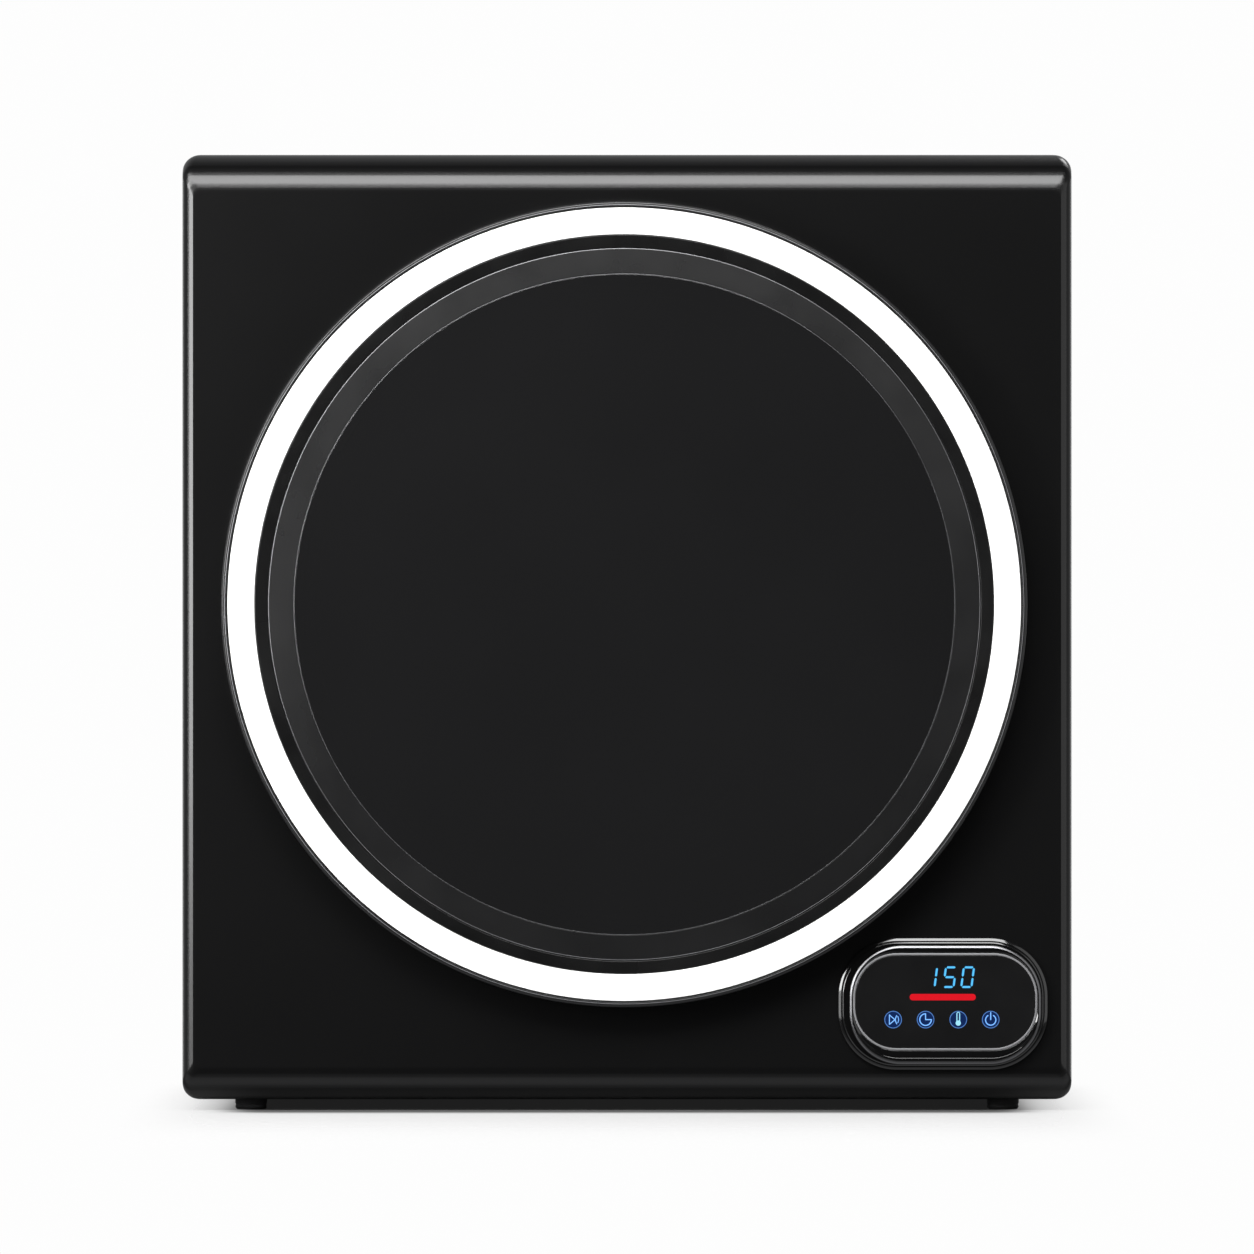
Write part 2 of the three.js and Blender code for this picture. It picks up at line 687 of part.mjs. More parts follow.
function buildDrive() {
  piece(motorGroup, "motor_body", motorBody(), look.steel);
  piece(motorGroup, "motor_shaft", motorShaft(), look.steel);
  const { drive, fanDrive, beltY, beltWidth, fanBeltY, fanBeltWidth } = pulley;
  piece(motorGroup, "drum_pulley", groovedPulley(drive, beltY, beltWidth, 3), look.zinc);
  piece(motorGroup, "fan_drive_pulley", groovedPulley(fanDrive, fanBeltY, fanBeltWidth, 3), look.zinc);
  piece(dryer, "motor_bracket", motorBracket(), look.zinc);
  piece(dryer, "idler_arm", idlerArm(), look.zinc, idler.pivotX, 0, idler.pivotZ);
  const roller = tube(3.5, idler.radius, beltY - 0.5, beltY + beltWidth + 0.5);
  piece(dryer, "idler_roller", roller, look.greyPlastic, idler.x, 0, idler.z);
  piece(dryer, "idler_spring", coilSpring(4, 0.7, 24.2, 8), look.steel, -92, 84, 10.8);

  const wraps = [
    { x: axis.x, z: axis.z, radius: drum.radius },
    { x: motor.x, z: motor.z, radius: drive },
    { x: idler.x, z: idler.z, radius: idler.radius },
  ];
  const fanWraps = [
    { x: axis.x, z: axis.z, radius: fan.pulley },
    { x: motor.x, z: motor.z, radius: fanDrive },
  ];
  const loop = (circles, y, width) =>
    less(
      alongY(beltOutline(circles, 0.8 + beltThick), y, y + width),
      alongY(beltOutline(circles, 0.8), y - CUT, y + width + CUT),
    );
  piece(dryer, "drum_belt", loop(wraps, beltY, beltWidth), look.rubber);
  piece(dryer, "fan_belt", loop(fanWraps, fanBeltY, fanBeltWidth), look.rubber);
}

// ---------------------------------------------------------------- door

// What the hinge and the finger grip cut away from the back of the door's edge.
function edgeCuts() {
  const left = hinge.x - axis.x;
  return [
    box(left - 14, left + 32, door.floor + 3, door.back + 3, -notch.half, notch.half),
    box(204, 226, door.floor + 3, door.back + 3, -notch.grip, notch.grip),
  ];
}

function doorFrame() {
  const { front, floor, back, outer, trimOuter, frameInner, skirtBack } = door;
  const lip = trimOuter + GAP;
  const ring = turned([
    [frameInner, floor + 3],
    [frameInner, floor],
    [lip, floor],
    [lip, front + 0.6],
    [lip + 0.8, front],
    [outer - 0.9, front + 1],
    [outer, front + 3],
    [outer, floor + 3],
    [skirtBack, back],
    [skirtBack - 2.5, back],
    [outer - 3, floor + 3],
  ]);
  return less(ring, ...edgeCuts());
}

function doorLiner() {
  const { floor, back, linerInner, skirtBack } = door;
  const rim = skirtBack - 3;
  const wall = 181;
  const ring = turned([
    [linerInner, back - 2],
    [wall, back - 2],
    [wall, floor + 3 + GAP],
    [wall + 2, floor + 3 + GAP],
    [wall + 2, back - 2],
    [rim, back - 2],
    [rim, back],
    [linerInner, back],
  ]);
  return less(ring, ...edgeCuts());
}

function windowBowl() {
  const { rim, flange, end, tip, wall } = bowl;
  const seat = door.back - 2 - GAP;
  return turned([
    [0, tip],
    [end - 4, tip],
    [end, tip - 3],
    [rim, seat],
    [flange, seat],
    [flange, seat - wall],
    [rim - wall, seat - wall],
    [end - wall, tip - wall - 2.5],
    [end - 6, tip - wall],
    [0, tip - wall],
  ]);
}

// Two lugs on a plate, leaning out to the pin so that the door can pass round them.
function hingePlate() {
  const plateFront = cabinet.front - GAP - 1.7;
  const plate = box(-208, -186, plateFront, cabinet.front - GAP, axis.z - 34, axis.z + 34);
  const lug = (from, to) => {
    const eye = arc(hinge.x, hinge.y, hinge.knuckle, 120, 300, 8);
    const outline = [...eye, [-197, plateFront + 0.5], [-205, plateFront + 0.5]];
    return alongZ(outline, axis.z + from, axis.z + to);
  };
  const hole = cylinder(hinge.pin + 0.2, 0, 80, 16).rotate([90, 0, 0]);
  return less(
    union(plate, lug(hinge.lugFrom, hinge.lugTo), lug(-hinge.lugTo, -hinge.lugFrom)),
    hole.translate([hinge.x, hinge.y, axis.z - 40]),
  );
}

function hingeArm() {
  const { knuckle, knuckleHalf, pin } = hinge;
  const upright = (radius, half) => cylinder(radius, -half, half, 16).rotate([90, 0, 0]);
  const leaf = box(0, 24, -knuckle, -knuckle + 2, -knuckleHalf, knuckleHalf);
  return less(union(upright(knuckle, knuckleHalf), leaf), upright(pin + 0.2, knuckleHalf + CUT));
}

function buildDoor() {
  const { floor, back, trimOuter, trimInner, bezelInner, ringOuter, ringInner } = door;
  const seat = floor - GAP;
  piece(axisGroup, "door_frame", doorFrame(), look.blackGloss);
  const trim = turned([[trimInner, seat], [trimOuter, seat], [trimOuter, -213], [trimInner, -213]]);
  piece(axisGroup, "door_trim_ring", trim, look.white);
  const bezelOuter = trimInner - GAP;
  const bezel = turned([[bezelInner, seat], [bezelOuter, seat], [bezelOuter, -212.8], [bezelInner, -212.2]]);
  piece(axisGroup, "door_bezel_ring", bezel, look.blackSatin);
  const ring = turned([[ringInner, seat], [ringOuter, seat], [ringOuter, -212], [ringInner, -213.2]]);
  piece(axisGroup, "window_ring", ring, look.darkRing);
  piece(axisGroup, "door_window", cylinder(door.window, -213.4, seat, RING), look.tintedGlass);
  piece(axisGroup, "door_liner", doorLiner(), look.blackSatin);
  piece(axisGroup, "window_bowl", windowBowl(), look.clearPlastic);
  const sealTip = cabinet.front - 2 * GAP;
  const seal = turned([[167, back + GAP], [177, back + GAP], [175, sealTip], [169, sealTip]]);
  piece(axisGroup, "door_seal", seal, look.rubber);
  piece(axisGroup, "strike_plate", cylinder(9, back + GAP, back + 1.5, 20), look.steel, catchX, 0, 0);
  const magnet = turned([[0, -191.2], [8.8, -191.2], [8.8, -180], [0, -180]], 20);
  piece(axisGroup, "catch_magnet", magnet, look.blackSatin, catchX, 0, 0);
  piece(dryer, "hinge_plate", hingePlate(), look.steel);
  piece(dryer, "hinge_arm", hingeArm(), look.steel, hinge.x, hinge.y, axis.z);
  const pin = cylinder(hinge.pin, -31, 31, 16).rotate([90, 0, 0]);
  piece(dryer, "hinge_pin", pin, look.steel, hinge.x, hinge.y, axis.z);
  const sensor = box(-4, 4, -188, -180, -12, 12);
  piece(dryer, "door_sensor", sensor, look.blackSatin, catchX + axis.x, 0, axis.z + 34);
}

// ---------------------------------------------------------------- controls

function controlHousing() {
  const { front } = cabinet;
  const shape = { x: pod.x, z: pod.z, width: pod.width, height: pod.height, corner: pod.corner };
  const flange = lofted([
    { outline: centredRect(shape, -2), y: front - pod.proud },
    { outline: centredRect(shape, -0.6), y: front - pod.proud + 0.8 },
    { outline: centredRect(shape, 0), y: front - pod.proud + 2 },
    { outline: centredRect(shape, 0), y: front - GAP },
  ]);
  const tub = { x: pod.x, z: pod.z, ...pod.tub };
  const outside = alongY(centredRect(tub), front - 1, front + pod.tub.depth);
  const inside = alongY(centredRect(tub, -2), front - pod.proud - CUT, front + pod.tub.depth - 2);
  return less(union(flange, outside), inside);
}

function controlBezel() {
  const { front } = cabinet;
  const back = front - pod.proud - GAP;
  const { bezel, window } = pod;
  const ring = lofted([
    { outline: centredRect(bezel, -2.4), y: front - bezel.proud },
    { outline: centredRect(bezel, -0.7), y: front - bezel.proud + 0.9 },
    { outline: centredRect(bezel, 0), y: front - bezel.proud + 2.6 },
    { outline: centredRect(bezel, 0), y: back },
  ]);
  return less(ring, alongY(centredRect(window, GAP), front - bezel.proud - CUT, back + CUT));
}

// The power board lies over the base pan on four posts, with its relays, capacitors and connectors.
function powerBoard() {
  const [left, right, from, to, z] = [160, 234, -140, -36, 20];
  const blocks = [
    [166, -130, 22, 26, 18],
    [194, -134, 14, 14, 22],
    [212, -132, 16, 22, 14],
    [168, -92, 30, 24, 12],
    [206, -98, 22, 30, 20],
    [172, -58, 40, 14, 10],
  ].map(([x, y, width, depth, tall]) => box(x, x + width, y, y + depth, z + 1, z + 1.6 + tall));
  const posts = [left + 2, right - 8].flatMap((x) =>
    [from + 2, to - 8].map((y) => box(x, x + 6, y, y + 6, cabinet.bottom + SHEET + GAP, z + 1)),
  );
  return union(box(left, right, from, to, z, z + 1.6), ...blocks, ...posts);
}

// The display board stands off the floor of its tub, with the digits' block in front of it.
function displayBoard() {
  const { width, height, depth } = pod.tub;
  const [halfWide, halfTall] = [width / 2 - 4, height / 2 - 4];
  const floor = cabinet.front + depth - 2 - GAP;
  const posts = [-halfWide + 4, halfWide - 8].map((x) => box(x, x + 4, -185, floor, -2, 2));
  return union(
    box(-halfWide, halfWide, -186, -184.4, -halfTall, halfTall),
    box(-10, 24, -192, -185, 2, 14),
    ...posts,
  );
}

function buildControls() {
  const { front } = cabinet;
  piece(dryer, "control_housing", controlHousing(), look.blackGloss);
  piece(dryer, "control_bezel", controlBezel(), look.blackGloss);
  const back = front - pod.proud - GAP;
  const glass = alongY(centredRect(pod.window), back - 3.6, back);
  piece(dryer, "control_window", glass, look.tintedGlass);
  piece(dryer, "display_board", displayBoard(), look.board, pod.x, 0, pod.z);
  piece(dryer, "power_board", powerBoard(), look.board);
}

buildCabinet();
buildAirPath();
buildDrum();
buildDrive();
buildDoor();
buildControls();

export default dryer;
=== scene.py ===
"""Looks of a compact clothes dryer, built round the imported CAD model.

Lengths of the object are in millimetres until mesh_piece turns them into metres. The stage is in metres. x runs to
the right seen from the front, y to the rear and z up. An outline is a list of (x, z) points.
"""
import json
import math

import bmesh
import bpy
from mathutils import Matrix, Vector

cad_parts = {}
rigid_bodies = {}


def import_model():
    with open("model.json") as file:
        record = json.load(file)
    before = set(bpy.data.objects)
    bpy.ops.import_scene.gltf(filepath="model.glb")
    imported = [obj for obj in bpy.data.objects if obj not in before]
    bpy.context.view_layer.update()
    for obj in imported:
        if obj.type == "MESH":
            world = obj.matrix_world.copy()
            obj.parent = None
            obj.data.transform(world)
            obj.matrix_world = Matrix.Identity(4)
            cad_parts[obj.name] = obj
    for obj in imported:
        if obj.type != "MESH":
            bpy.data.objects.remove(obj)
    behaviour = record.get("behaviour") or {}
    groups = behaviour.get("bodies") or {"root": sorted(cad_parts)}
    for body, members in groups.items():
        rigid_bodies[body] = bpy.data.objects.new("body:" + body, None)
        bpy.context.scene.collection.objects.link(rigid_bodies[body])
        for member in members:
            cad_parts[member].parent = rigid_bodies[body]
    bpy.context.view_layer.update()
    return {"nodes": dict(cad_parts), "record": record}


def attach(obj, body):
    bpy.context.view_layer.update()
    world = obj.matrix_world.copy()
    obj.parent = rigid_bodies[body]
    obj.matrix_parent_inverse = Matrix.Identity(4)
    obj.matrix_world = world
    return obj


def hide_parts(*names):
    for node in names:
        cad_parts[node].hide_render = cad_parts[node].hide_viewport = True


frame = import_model()

MM = 0.001
AXIS = (-1.5, 279.0)  # x and z of the drum's and the door's common axis
FRONT = -190.0  # the front panel's face
REAR = 190.0
HALF_WIDTH = 245.0
BOTTOM, TOP = 6.0, 527.0
SHEET = 1.5
TURN = 2 * math.pi
CREASE = 32  # degrees between faces from which an edge is drawn sharp


# ------------------------------------------------------------------ materials

def shader(name):
    made = bpy.data.materials.new(name)
    made.use_nodes = True
    nodes, links = made.node_tree.nodes, made.node_tree.links
    return made, nodes, links, nodes["Principled BSDF"]


def coordinates(nodes, links, stretch=(1, 1, 1)):
    """Position in metres, stretched along each axis."""
    place = nodes.new("ShaderNodeTexCoord")
    mapping = nodes.new("ShaderNodeMapping")
    mapping.inputs["Scale"].default_value = stretch
    links.new(place.outputs["Object"], mapping.inputs["Vector"])
    return mapping.outputs["Vector"]


def noise(nodes, links, vector, scale, detail=3.0, roughness=0.5):
    node = nodes.new("ShaderNodeTexNoise")
    node.inputs["Scale"].default_value = scale
    node.inputs["Detail"].default_value = detail
    node.inputs["Roughness"].default_value = roughness
    links.new(vector, node.inputs["Vector"])
    return node.outputs["Fac"]


def spread(nodes, links, value, low, high):
    """A 0..1 pattern, most of it near 0.5, spread over low..high."""
    node = nodes.new("ShaderNodeMapRange")
    node.inputs["From Min"].default_value = 0.3
    node.inputs["From Max"].default_value = 0.7
    node.inputs["To Min"].default_value = low
    node.inputs["To Max"].default_value = high
    links.new(value, node.inputs["Value"])
    return node.outputs["Result"]


def surface(name, color, rough, metal=0.0, grain=900.0, depth=0.01, patch=14.0, wear=0.15, stretch=(1, 1, 1),
            sockets=None):
    """A surface with fine relief, uneven gloss and slightly uneven colour.

    grain is the relief's frequency per metre and depth its height in mm. patch is the frequency of the gloss and
    colour patches, and wear is how far they stray from rough and color.
    """
    made, nodes, links, bsdf = shader(name)
    vector = coordinates(nodes, links, stretch)
    fine = noise(nodes, links, vector, grain, 2.0)
    coarse = noise(nodes, links, vector, patch, 4.0, 0.6)
    bump = nodes.new("ShaderNodeBump")
    bump.inputs["Strength"].default_value = 1.0
    bump.inputs["Distance"].default_value = depth * MM
    links.new(fine, bump.inputs["Height"])
    links.new(bump.outputs["Normal"], bsdf.inputs["Normal"])
    links.new(spread(nodes, links, coarse, rough * (1 - wear), rough * (1 + wear)), bsdf.inputs["Roughness"])
    ramp = nodes.new("ShaderNodeValToRGB")
    ramp.color_ramp.elements[0].position = 0.3
    ramp.color_ramp.elements[1].position = 0.7
    ramp.color_ramp.elements[0].color = [c * (1 - wear / 2) for c in color] + [1]
    ramp.color_ramp.elements[1].color = [min(1, c * (1 + wear / 2)) for c in color] + [1]
    links.new(coarse, ramp.inputs["Fac"])
    links.new(ramp.outputs["Color"], bsdf.inputs["Base Color"])
    bsdf.inputs["Metallic"].default_value = metal
    for socket, value in (sockets or {}).items():
        bsdf.inputs[socket].default_value = value
    return made


def lit(name, color, strength):
    """A lit legend: its light fades a little from place to place, as light spread through film does."""
    made, nodes, links, bsdf = shader(name)
    vector = coordinates(nodes, links)
    ramp = nodes.new("ShaderNodeValToRGB")
    ramp.color_ramp.elements[0].color = [c * 0.85 for c in color] + [1]
    ramp.color_ramp.elements[1].color = list(color) + [1]
    links.new(noise(nodes, links, vector, 500.0), ramp.inputs["Fac"])
    links.new(ramp.outputs["Color"], bsdf.inputs["Emission Color"])
    bsdf.inputs["Emission Strength"].default_value = strength
    bsdf.inputs["Base Color"].default_value = [c * 0.1 for c in color] + [1]
    bsdf.inputs["Roughness"].default_value = 0.5
    bsdf.inputs["Specular IOR Level"].default_value = 0.1
    return made


def grey(value):
    return (value, value, value * 1.04)


LOOKS = {
    "cabinet_paint": surface("cabinet_paint", grey(0.0019), 0.235, grain=420, depth=0.01, patch=3, wear=0.05),
    "rear_panel_steel": surface("rear_panel_steel", grey(0.04), 0.42, grain=600, depth=0.02, patch=9),
    "zinc_sheet": surface("zinc_sheet", (0.3, 0.305, 0.31), 0.4, 0.92, grain=160, depth=0.01, patch=60, wear=0.3),
    "felt": surface("felt", (0.5, 0.47, 0.4), 0.95, grain=2600, depth=0.4, patch=40,
                    sockets={"Sheen Weight": 0.4}),
    "rubber": surface("rubber", grey(0.018), 0.72, grain=1500, depth=0.03, patch=40),
    "grey_plastic": surface("grey_plastic", (0.17, 0.175, 0.185), 0.48, grain=1800, depth=0.03, patch=20),
    "machine_steel": surface("machine_steel", (0.36, 0.365, 0.38), 0.34, 1.0, grain=500, depth=0.006,
                             patch=30, stretch=(1, 4, 1)),
    "drum_steel": surface("drum_steel", (0.27, 0.27, 0.275), 0.3, 1.0, grain=260, depth=0.008, patch=18, wear=0.2,
                          stretch=(0.1, 3, 0.1)),
    "heater_fins": surface("heater_fins", (0.7, 0.69, 0.66), 0.45, 0.9, grain=700, depth=0.01, patch=50),
    "gloss_black": surface("gloss_black", grey(0.002), 0.11, grain=90, depth=0.002, patch=12,
                           sockets={"Coat Weight": 0.6, "Coat Roughness": 0.05}),
    "satin_black": surface("satin_black", grey(0.008), 0.4, grain=2200, depth=0.02, patch=16),
    "smoked_ring": surface("smoked_ring", grey(0.0065), 0.29, grain=900, depth=0.004, patch=12),
    "edge_metal": surface("edge_metal", grey(0.2), 0.4, 0.8, grain=700, depth=0.004, patch=20),
    # Light rings laid on black gloss edges as painted highlights: the metallic one round the pod's bezel, the grey
    # one on the door rim and round the pod's pane.
    "painted_highlight_metallic": surface("painted_highlight_metallic", grey(0.16), 0.3, 1.0, grain=700, depth=0.003, patch=30, wear=0.1),
    "painted_highlight_grey": surface("painted_highlight_grey", grey(0.2), 0.42, 0.2, grain=900, depth=0.004, patch=30, wear=0.1),
    "rim_black": surface("rim_black", grey(0.008), 0.27, grain=500, depth=0.005, patch=14),
    "ring_black": surface("ring_black", grey(0.0015), 0.28, grain=1600, depth=0.008, patch=16),
    "white_trim": surface("white_trim", (0.86, 0.86, 0.855), 0.36, grain=1200, depth=0.008, patch=20, wear=0.03),
    "tinted_glass": surface("tinted_glass", grey(0.008), 0.12, grain=30, depth=0.004, patch=5, wear=0.12,
                            sockets={"Alpha": 0.86}),
    "clear_bowl": surface("clear_bowl", grey(0.045), 0.08, grain=40, depth=0.01, patch=10,
                          sockets={"Alpha": 0.3}),
    "control_glass": surface("control_glass", grey(0.005), 0.22, grain=60, depth=0.003, patch=20),
    "circuit_board": surface("circuit_board", (0.02, 0.15, 0.07), 0.45, grain=800, depth=0.03, patch=90),
    "display_cyan": lit("display_cyan", (0.1, 0.56, 1.0), 1.0),
    "display_blue": lit("display_blue", (0.2, 0.48, 1.0), 1.25),
    "display_ring": lit("display_ring", (0.12, 0.3, 0.75), 0.8),
    "display_white": lit("display_white", (0.35, 0.78, 1.0), 1.0),
    "display_glow": lit("display_glow", (0.0, 0.02, 0.12), 0.7),
    "display_halo": lit("display_halo", (0.004, 0.02, 0.12), 0.25),
    "display_red": lit("display_red", (0.8, 0.004, 0.014), 0.85),
}


# ------------------------------------------------------------------ mesh building

def mesh_piece(name, bm, body, slot, look=None, replaces=(), crease=CREASE, merge=True):
    """Turns a bmesh in millimetres into a finished piece that rides on a body."""
    if merge:
        bmesh.ops.remove_doubles(bm, verts=bm.verts, dist=1e-4)
    bmesh.ops.recalc_face_normals(bm, faces=bm.faces)
    bmesh.ops.scale(bm, vec=(MM, MM, MM), verts=bm.verts)
    mesh = bpy.data.meshes.new(name)
    bm.to_mesh(mesh)
    bm.free()
    mesh.shade_smooth()
    mesh.set_sharp_from_angle(angle=math.radians(crease))
    mesh.materials.append(LOOKS[look or slot])
    made = bpy.data.objects.new(name, mesh)
    bpy.context.scene.collection.objects.link(made)
    if body:
        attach(made, body)
        if replaces:
            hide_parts(*replaces)
    return made


def fillet(points, closed=True, steps=4):
    """Rounds each corner (a, b, radius) of a polyline; a corner with no radius stays sharp."""
    out = []
    count = len(points)
    for i, point in enumerate(points):
        here = Vector(point[:2])
        radius = point[2] if len(point) > 2 else 0
        if not radius or (not closed and i in (0, count - 1)):
            out.append(here)
            continue
        back = Vector(points[i - 1][:2]) - here
        ahead = Vector(points[(i + 1) % count][:2]) - here
        half = back.angle(ahead) / 2
        reach = min(radius / math.tan(half), 0.48 * back.length, 0.48 * ahead.length)
        radius = reach * math.tan(half)
        centre = here + (back.normalized() + ahead.normalized()).normalized() * (radius / math.sin(half))
        start = here + back.normalized() * reach - centre
        end = here + ahead.normalized() * reach - centre
        first = math.atan2(start.y, start.x)
        swing = (math.atan2(end.y, end.x) - first + math.pi) % TURN - math.pi
        for k in range(steps + 1):
            angle = first + swing * k / steps
            out.append(centre + Vector((math.cos(angle), math.sin(angle))) * radius)
    return out


def on_circle(x, z, radius, angle):
    return (x + radius * math.cos(angle), z + radius * math.sin(angle))


def circle(x, z, radius, count=64):
    return [on_circle(x, z, radius, TURN * i / count) for i in range(count)]


def add_revolved(bm, profile, centre=AXIS, segments=128, closed=True, along="Y"):
    """Turns (radius, position) points about an axis through centre, which runs along Y or along Z."""
    rows = []
    for radius, position in profile:
        if radius < 1e-6:
            spots = [(0.0, 0.0)]
        else:
            spots = circle(0, 0, radius, segments)
        if along == "Y":
            rows.append([bm.verts.new((centre[0] + a, position, centre[1] + b)) for a, b in spots])
        else:
            rows.append([bm.verts.new((centre[0] + a, centre[1] + b, position)) for a, b in spots])
    pairs = list(zip(rows, rows[1:])) + ([(rows[-1], rows[0])] if closed else [])
    for row, after in pairs:
        if len(row) == 1 and len(after) == 1:
            continue
        for i in range(segments):
            j = (i + 1) % segments
            corners = [row[i % len(row)], row[j % len(row)], after[j % len(after)], after[i % len(after)]]
            bm.faces.new(list(dict.fromkeys(corners)))
    return bm


def revolved(name, profile, body, slot, centre=AXIS, segments=128, closed=True, along="Y", **more):
    bm = add_revolved(bmesh.new(), profile, centre, segments, closed, along)
    return mesh_piece(name, bm, body, slot, **more)


def rounded_rect(x0, x1, z0, z1, radius, steps=12):
    """Anticlockwise outline, the same number of points for any size."""
    corners = [(x1 - radius, z0 + radius, -90), (x1 - radius, z1 - radius, 0), (x0 + radius, z1 - radius, 90),
               (x0 + radius, z0 + radius, 180)]
    out = []
    for cx, cz, start in corners:
        for k in range(steps + 1):
            out.append(on_circle(cx, cz, radius, math.radians(start + 90 * k / steps)))
    return out


def add_loop(bm, outline, y):
    return [bm.verts.new((x, y, z)) for x, z in outline]


def bridge(bm, loop, after):
    count = len(loop)
    for i in range(count):
        bm.faces.new([loop[i], loop[(i + 1) % count], after[(i + 1) % count], after[i]])


def skin(bm, loops):
    """Joins each loop to the next."""
    for loop, after in zip(loops, loops[1:]):
        bridge(bm, loop, after)


def fill(bm, *loops):
    """A flat face inside the first loop, with a hole at each other loop."""
    edges = []
    for loop in loops:
        for i, vert in enumerate(loop):
            after = loop[(i + 1) % len(loop)]
            edges.append(bm.edges.get((vert, after)) or bm.edges.new((vert, after)))
    bmesh.ops.triangle_fill(bm, edges=edges, use_beauty=True, use_dissolve=False)


def add_loft(bm, sections):
    """Skins (outline, y) sections of equal point counts, and closes both ends."""
    loops = [add_loop(bm, outline, y) for outline, y in sections]
    skin(bm, loops)
    fill(bm, loops[0])
    fill(bm, loops[-1])


def add_box(bm, x0, x1, y0, y1, z0, z1):
    add_loft(bm, [([(x0, z0), (x1, z0), (x1, z1), (x0, z1)], y) for y in (y0, y1)])


def plate(bm, outline, holes, y0, y1):
    """A flat plate between y0 and y1 with holes."""
    fronts = [add_loop(bm, line, y0) for line in [outline, *holes]]
    backs = [add_loop(bm, line, y1) for line in [outline, *holes]]
    for loop, after in zip(fronts, backs):
        bridge(bm, loop, after)
    fill(bm, *fronts)
    fill(bm, *backs)


def applied(made, kind, **settings):
    """Adds a modifier and bakes it into the mesh."""
    modifier = made.modifiers.new(kind, kind)
    for key, value in settings.items():
        setattr(modifier, key, value)
    bpy.context.view_layer.update()
    evaluated = made.evaluated_get(bpy.context.evaluated_depsgraph_get())
    mesh = bpy.data.meshes.new_from_object(evaluated)
    made.modifiers.clear()
    old, made.data = made.data, mesh
    bpy.data.meshes.remove(old)


def smoothed(made):
    made.data.shade_smooth()
    made.data.set_sharp_from_angle(angle=math.radians(CREASE))


def softened(made, width=0.35):
    """Rounds the sharp edges."""
    applied(made, "BEVEL", width=width * MM, segments=2, limit_method="ANGLE", angle_limit=math.radians(40),
            harden_normals=False)
    smoothed(made)


def cut(made, build):
    """Cuts away the solid that build(bm) draws in millimetres."""
    bm = bmesh.new()
    build(bm)
    cutter = mesh_piece("cutter", bm, None, "satin_black")
    applied(made, "BOOLEAN", object=cutter, operation="DIFFERENCE", solver="EXACT")
    bpy.data.objects.remove(cutter)
    smoothed(made)


def screw_head(bm, x, y, z, facing, radius=3.4, height=1.7, turn=0.4):
    """A pan-head screw with a cross slot. facing is the outward direction."""
    start = len(bm.verts)
    profile = [(radius, 0), (radius, height * 0.35), (radius * 0.8, height * 0.8), (radius * 0.56, height)]
    add_revolved(bm, profile, (0, 0), 20, False, "Z")
    bm.verts.ensure_lookup_table()
    rim = bm.verts[-20:]
    wide, narrow, deep = radius * 0.46, radius * 0.11, height * 0.35
    cross = []
    for quarter in range(4):
        angle = quarter * math.pi / 2
        for a, b in ((wide, -narrow), (wide, narrow), (narrow, narrow)):
            cross.append(Matrix.Rotation(angle, 2) @ Vector((a, b)))
    top = [bm.verts.new((a, b, height)) for a, b in cross]
    low = [bm.verts.new((a * 0.8, b * 0.8, deep)) for a, b in cross]
    fill(bm, list(rim), top)
    bridge(bm, top, low)
    fill(bm, low)
    bm.verts.ensure_lookup_table()
    made = bm.verts[start:]
    aim = Vector((0, 0, 1)).rotation_difference(Vector(facing)).to_matrix().to_4x4()
    matrix = Matrix.Translation((x, y, z)) @ aim @ Matrix.Rotation(turn, 4, "Z")
    bmesh.ops.transform(bm, matrix=matrix, verts=made)


def screws(name, body, places, facing, slot="machine_steel", **size):
    bm = bmesh.new()
    for i, (x, y, z) in enumerate(places):
        screw_head(bm, x, y, z, facing, turn=0.7 * i + 0.3, **size)
    mesh_piece(name, bm, body, slot, merge=False)


# ------------------------------------------------------------------ camera, light, floor

CAMERA_DISTANCE = 10.0  # from the front panel's face
FRAME_WIDTH = 0.6906  # the width that the picture spans at that face
CAMERA_HEIGHT = 0.2665
LIGHTS = (  # name, place, aim, size, brightness
    ("top_front", (-0.45, -2.24, 2.13), (-0.3, -0.19, 0.5), (2.6, 1.5), 10),
    ("left_front", (-0.97, -1.27, 0.6), (-0.245, -0.19, 0.56), (0.48, 0.92), 14),
    ("left_low", (-0.97, -1.27, 0.02), (-0.245, -0.19, 0.02), (0.48, 0.24), 3),
    ("right_front", (1.02, -1.25, 0.45), (0.245, -0.19, 0.4), (0.8, 1.2), 0.8),
    ("rear_right", (1.7, 2.0, 0.4), (0.2, 0.1, 0.3), (1.2, 1.2), 1.5),
    ("rear_left", (-1.7, 2.0, 0.4), (-0.2, 0.1, 0.3), (1.2, 1.2), 1.5),
    ("rear_key", (1.1, 1.6, 2.5), (0, 0.19, 0.3), (1.0, 1.0), 5),
)


def area_light(name, place, aim, size, radiance):
    """A softbox of the given brightness, which the camera doesn't see."""
    light = bpy.data.lights.new(name, "AREA")
    light.shape = "RECTANGLE"
    light.size, light.size_y = size
    light.energy = radiance * math.pi * size[0] * size[1]
    lamp = bpy.data.objects.new(name, light)
    bpy.context.scene.collection.objects.link(lamp)
    lamp.location = place
    lamp.rotation_euler = (Vector(aim) - Vector(place)).to_track_quat("-Z", "Y").to_euler()
    lamp.visible_camera = False


def build_camera():
    camera = bpy.data.cameras.new("camera")
    camera.sensor_width = 36
    camera.lens = 36 * CAMERA_DISTANCE / FRAME_WIDTH
    seat = bpy.data.objects.new("camera", camera)
    bpy.context.scene.collection.objects.link(seat)
    seat.location = (0, FRONT * MM - CAMERA_DISTANCE, CAMERA_HEIGHT)
    seat.rotation_euler = (math.pi / 2, 0, 0)
    bpy.context.scene.camera = seat


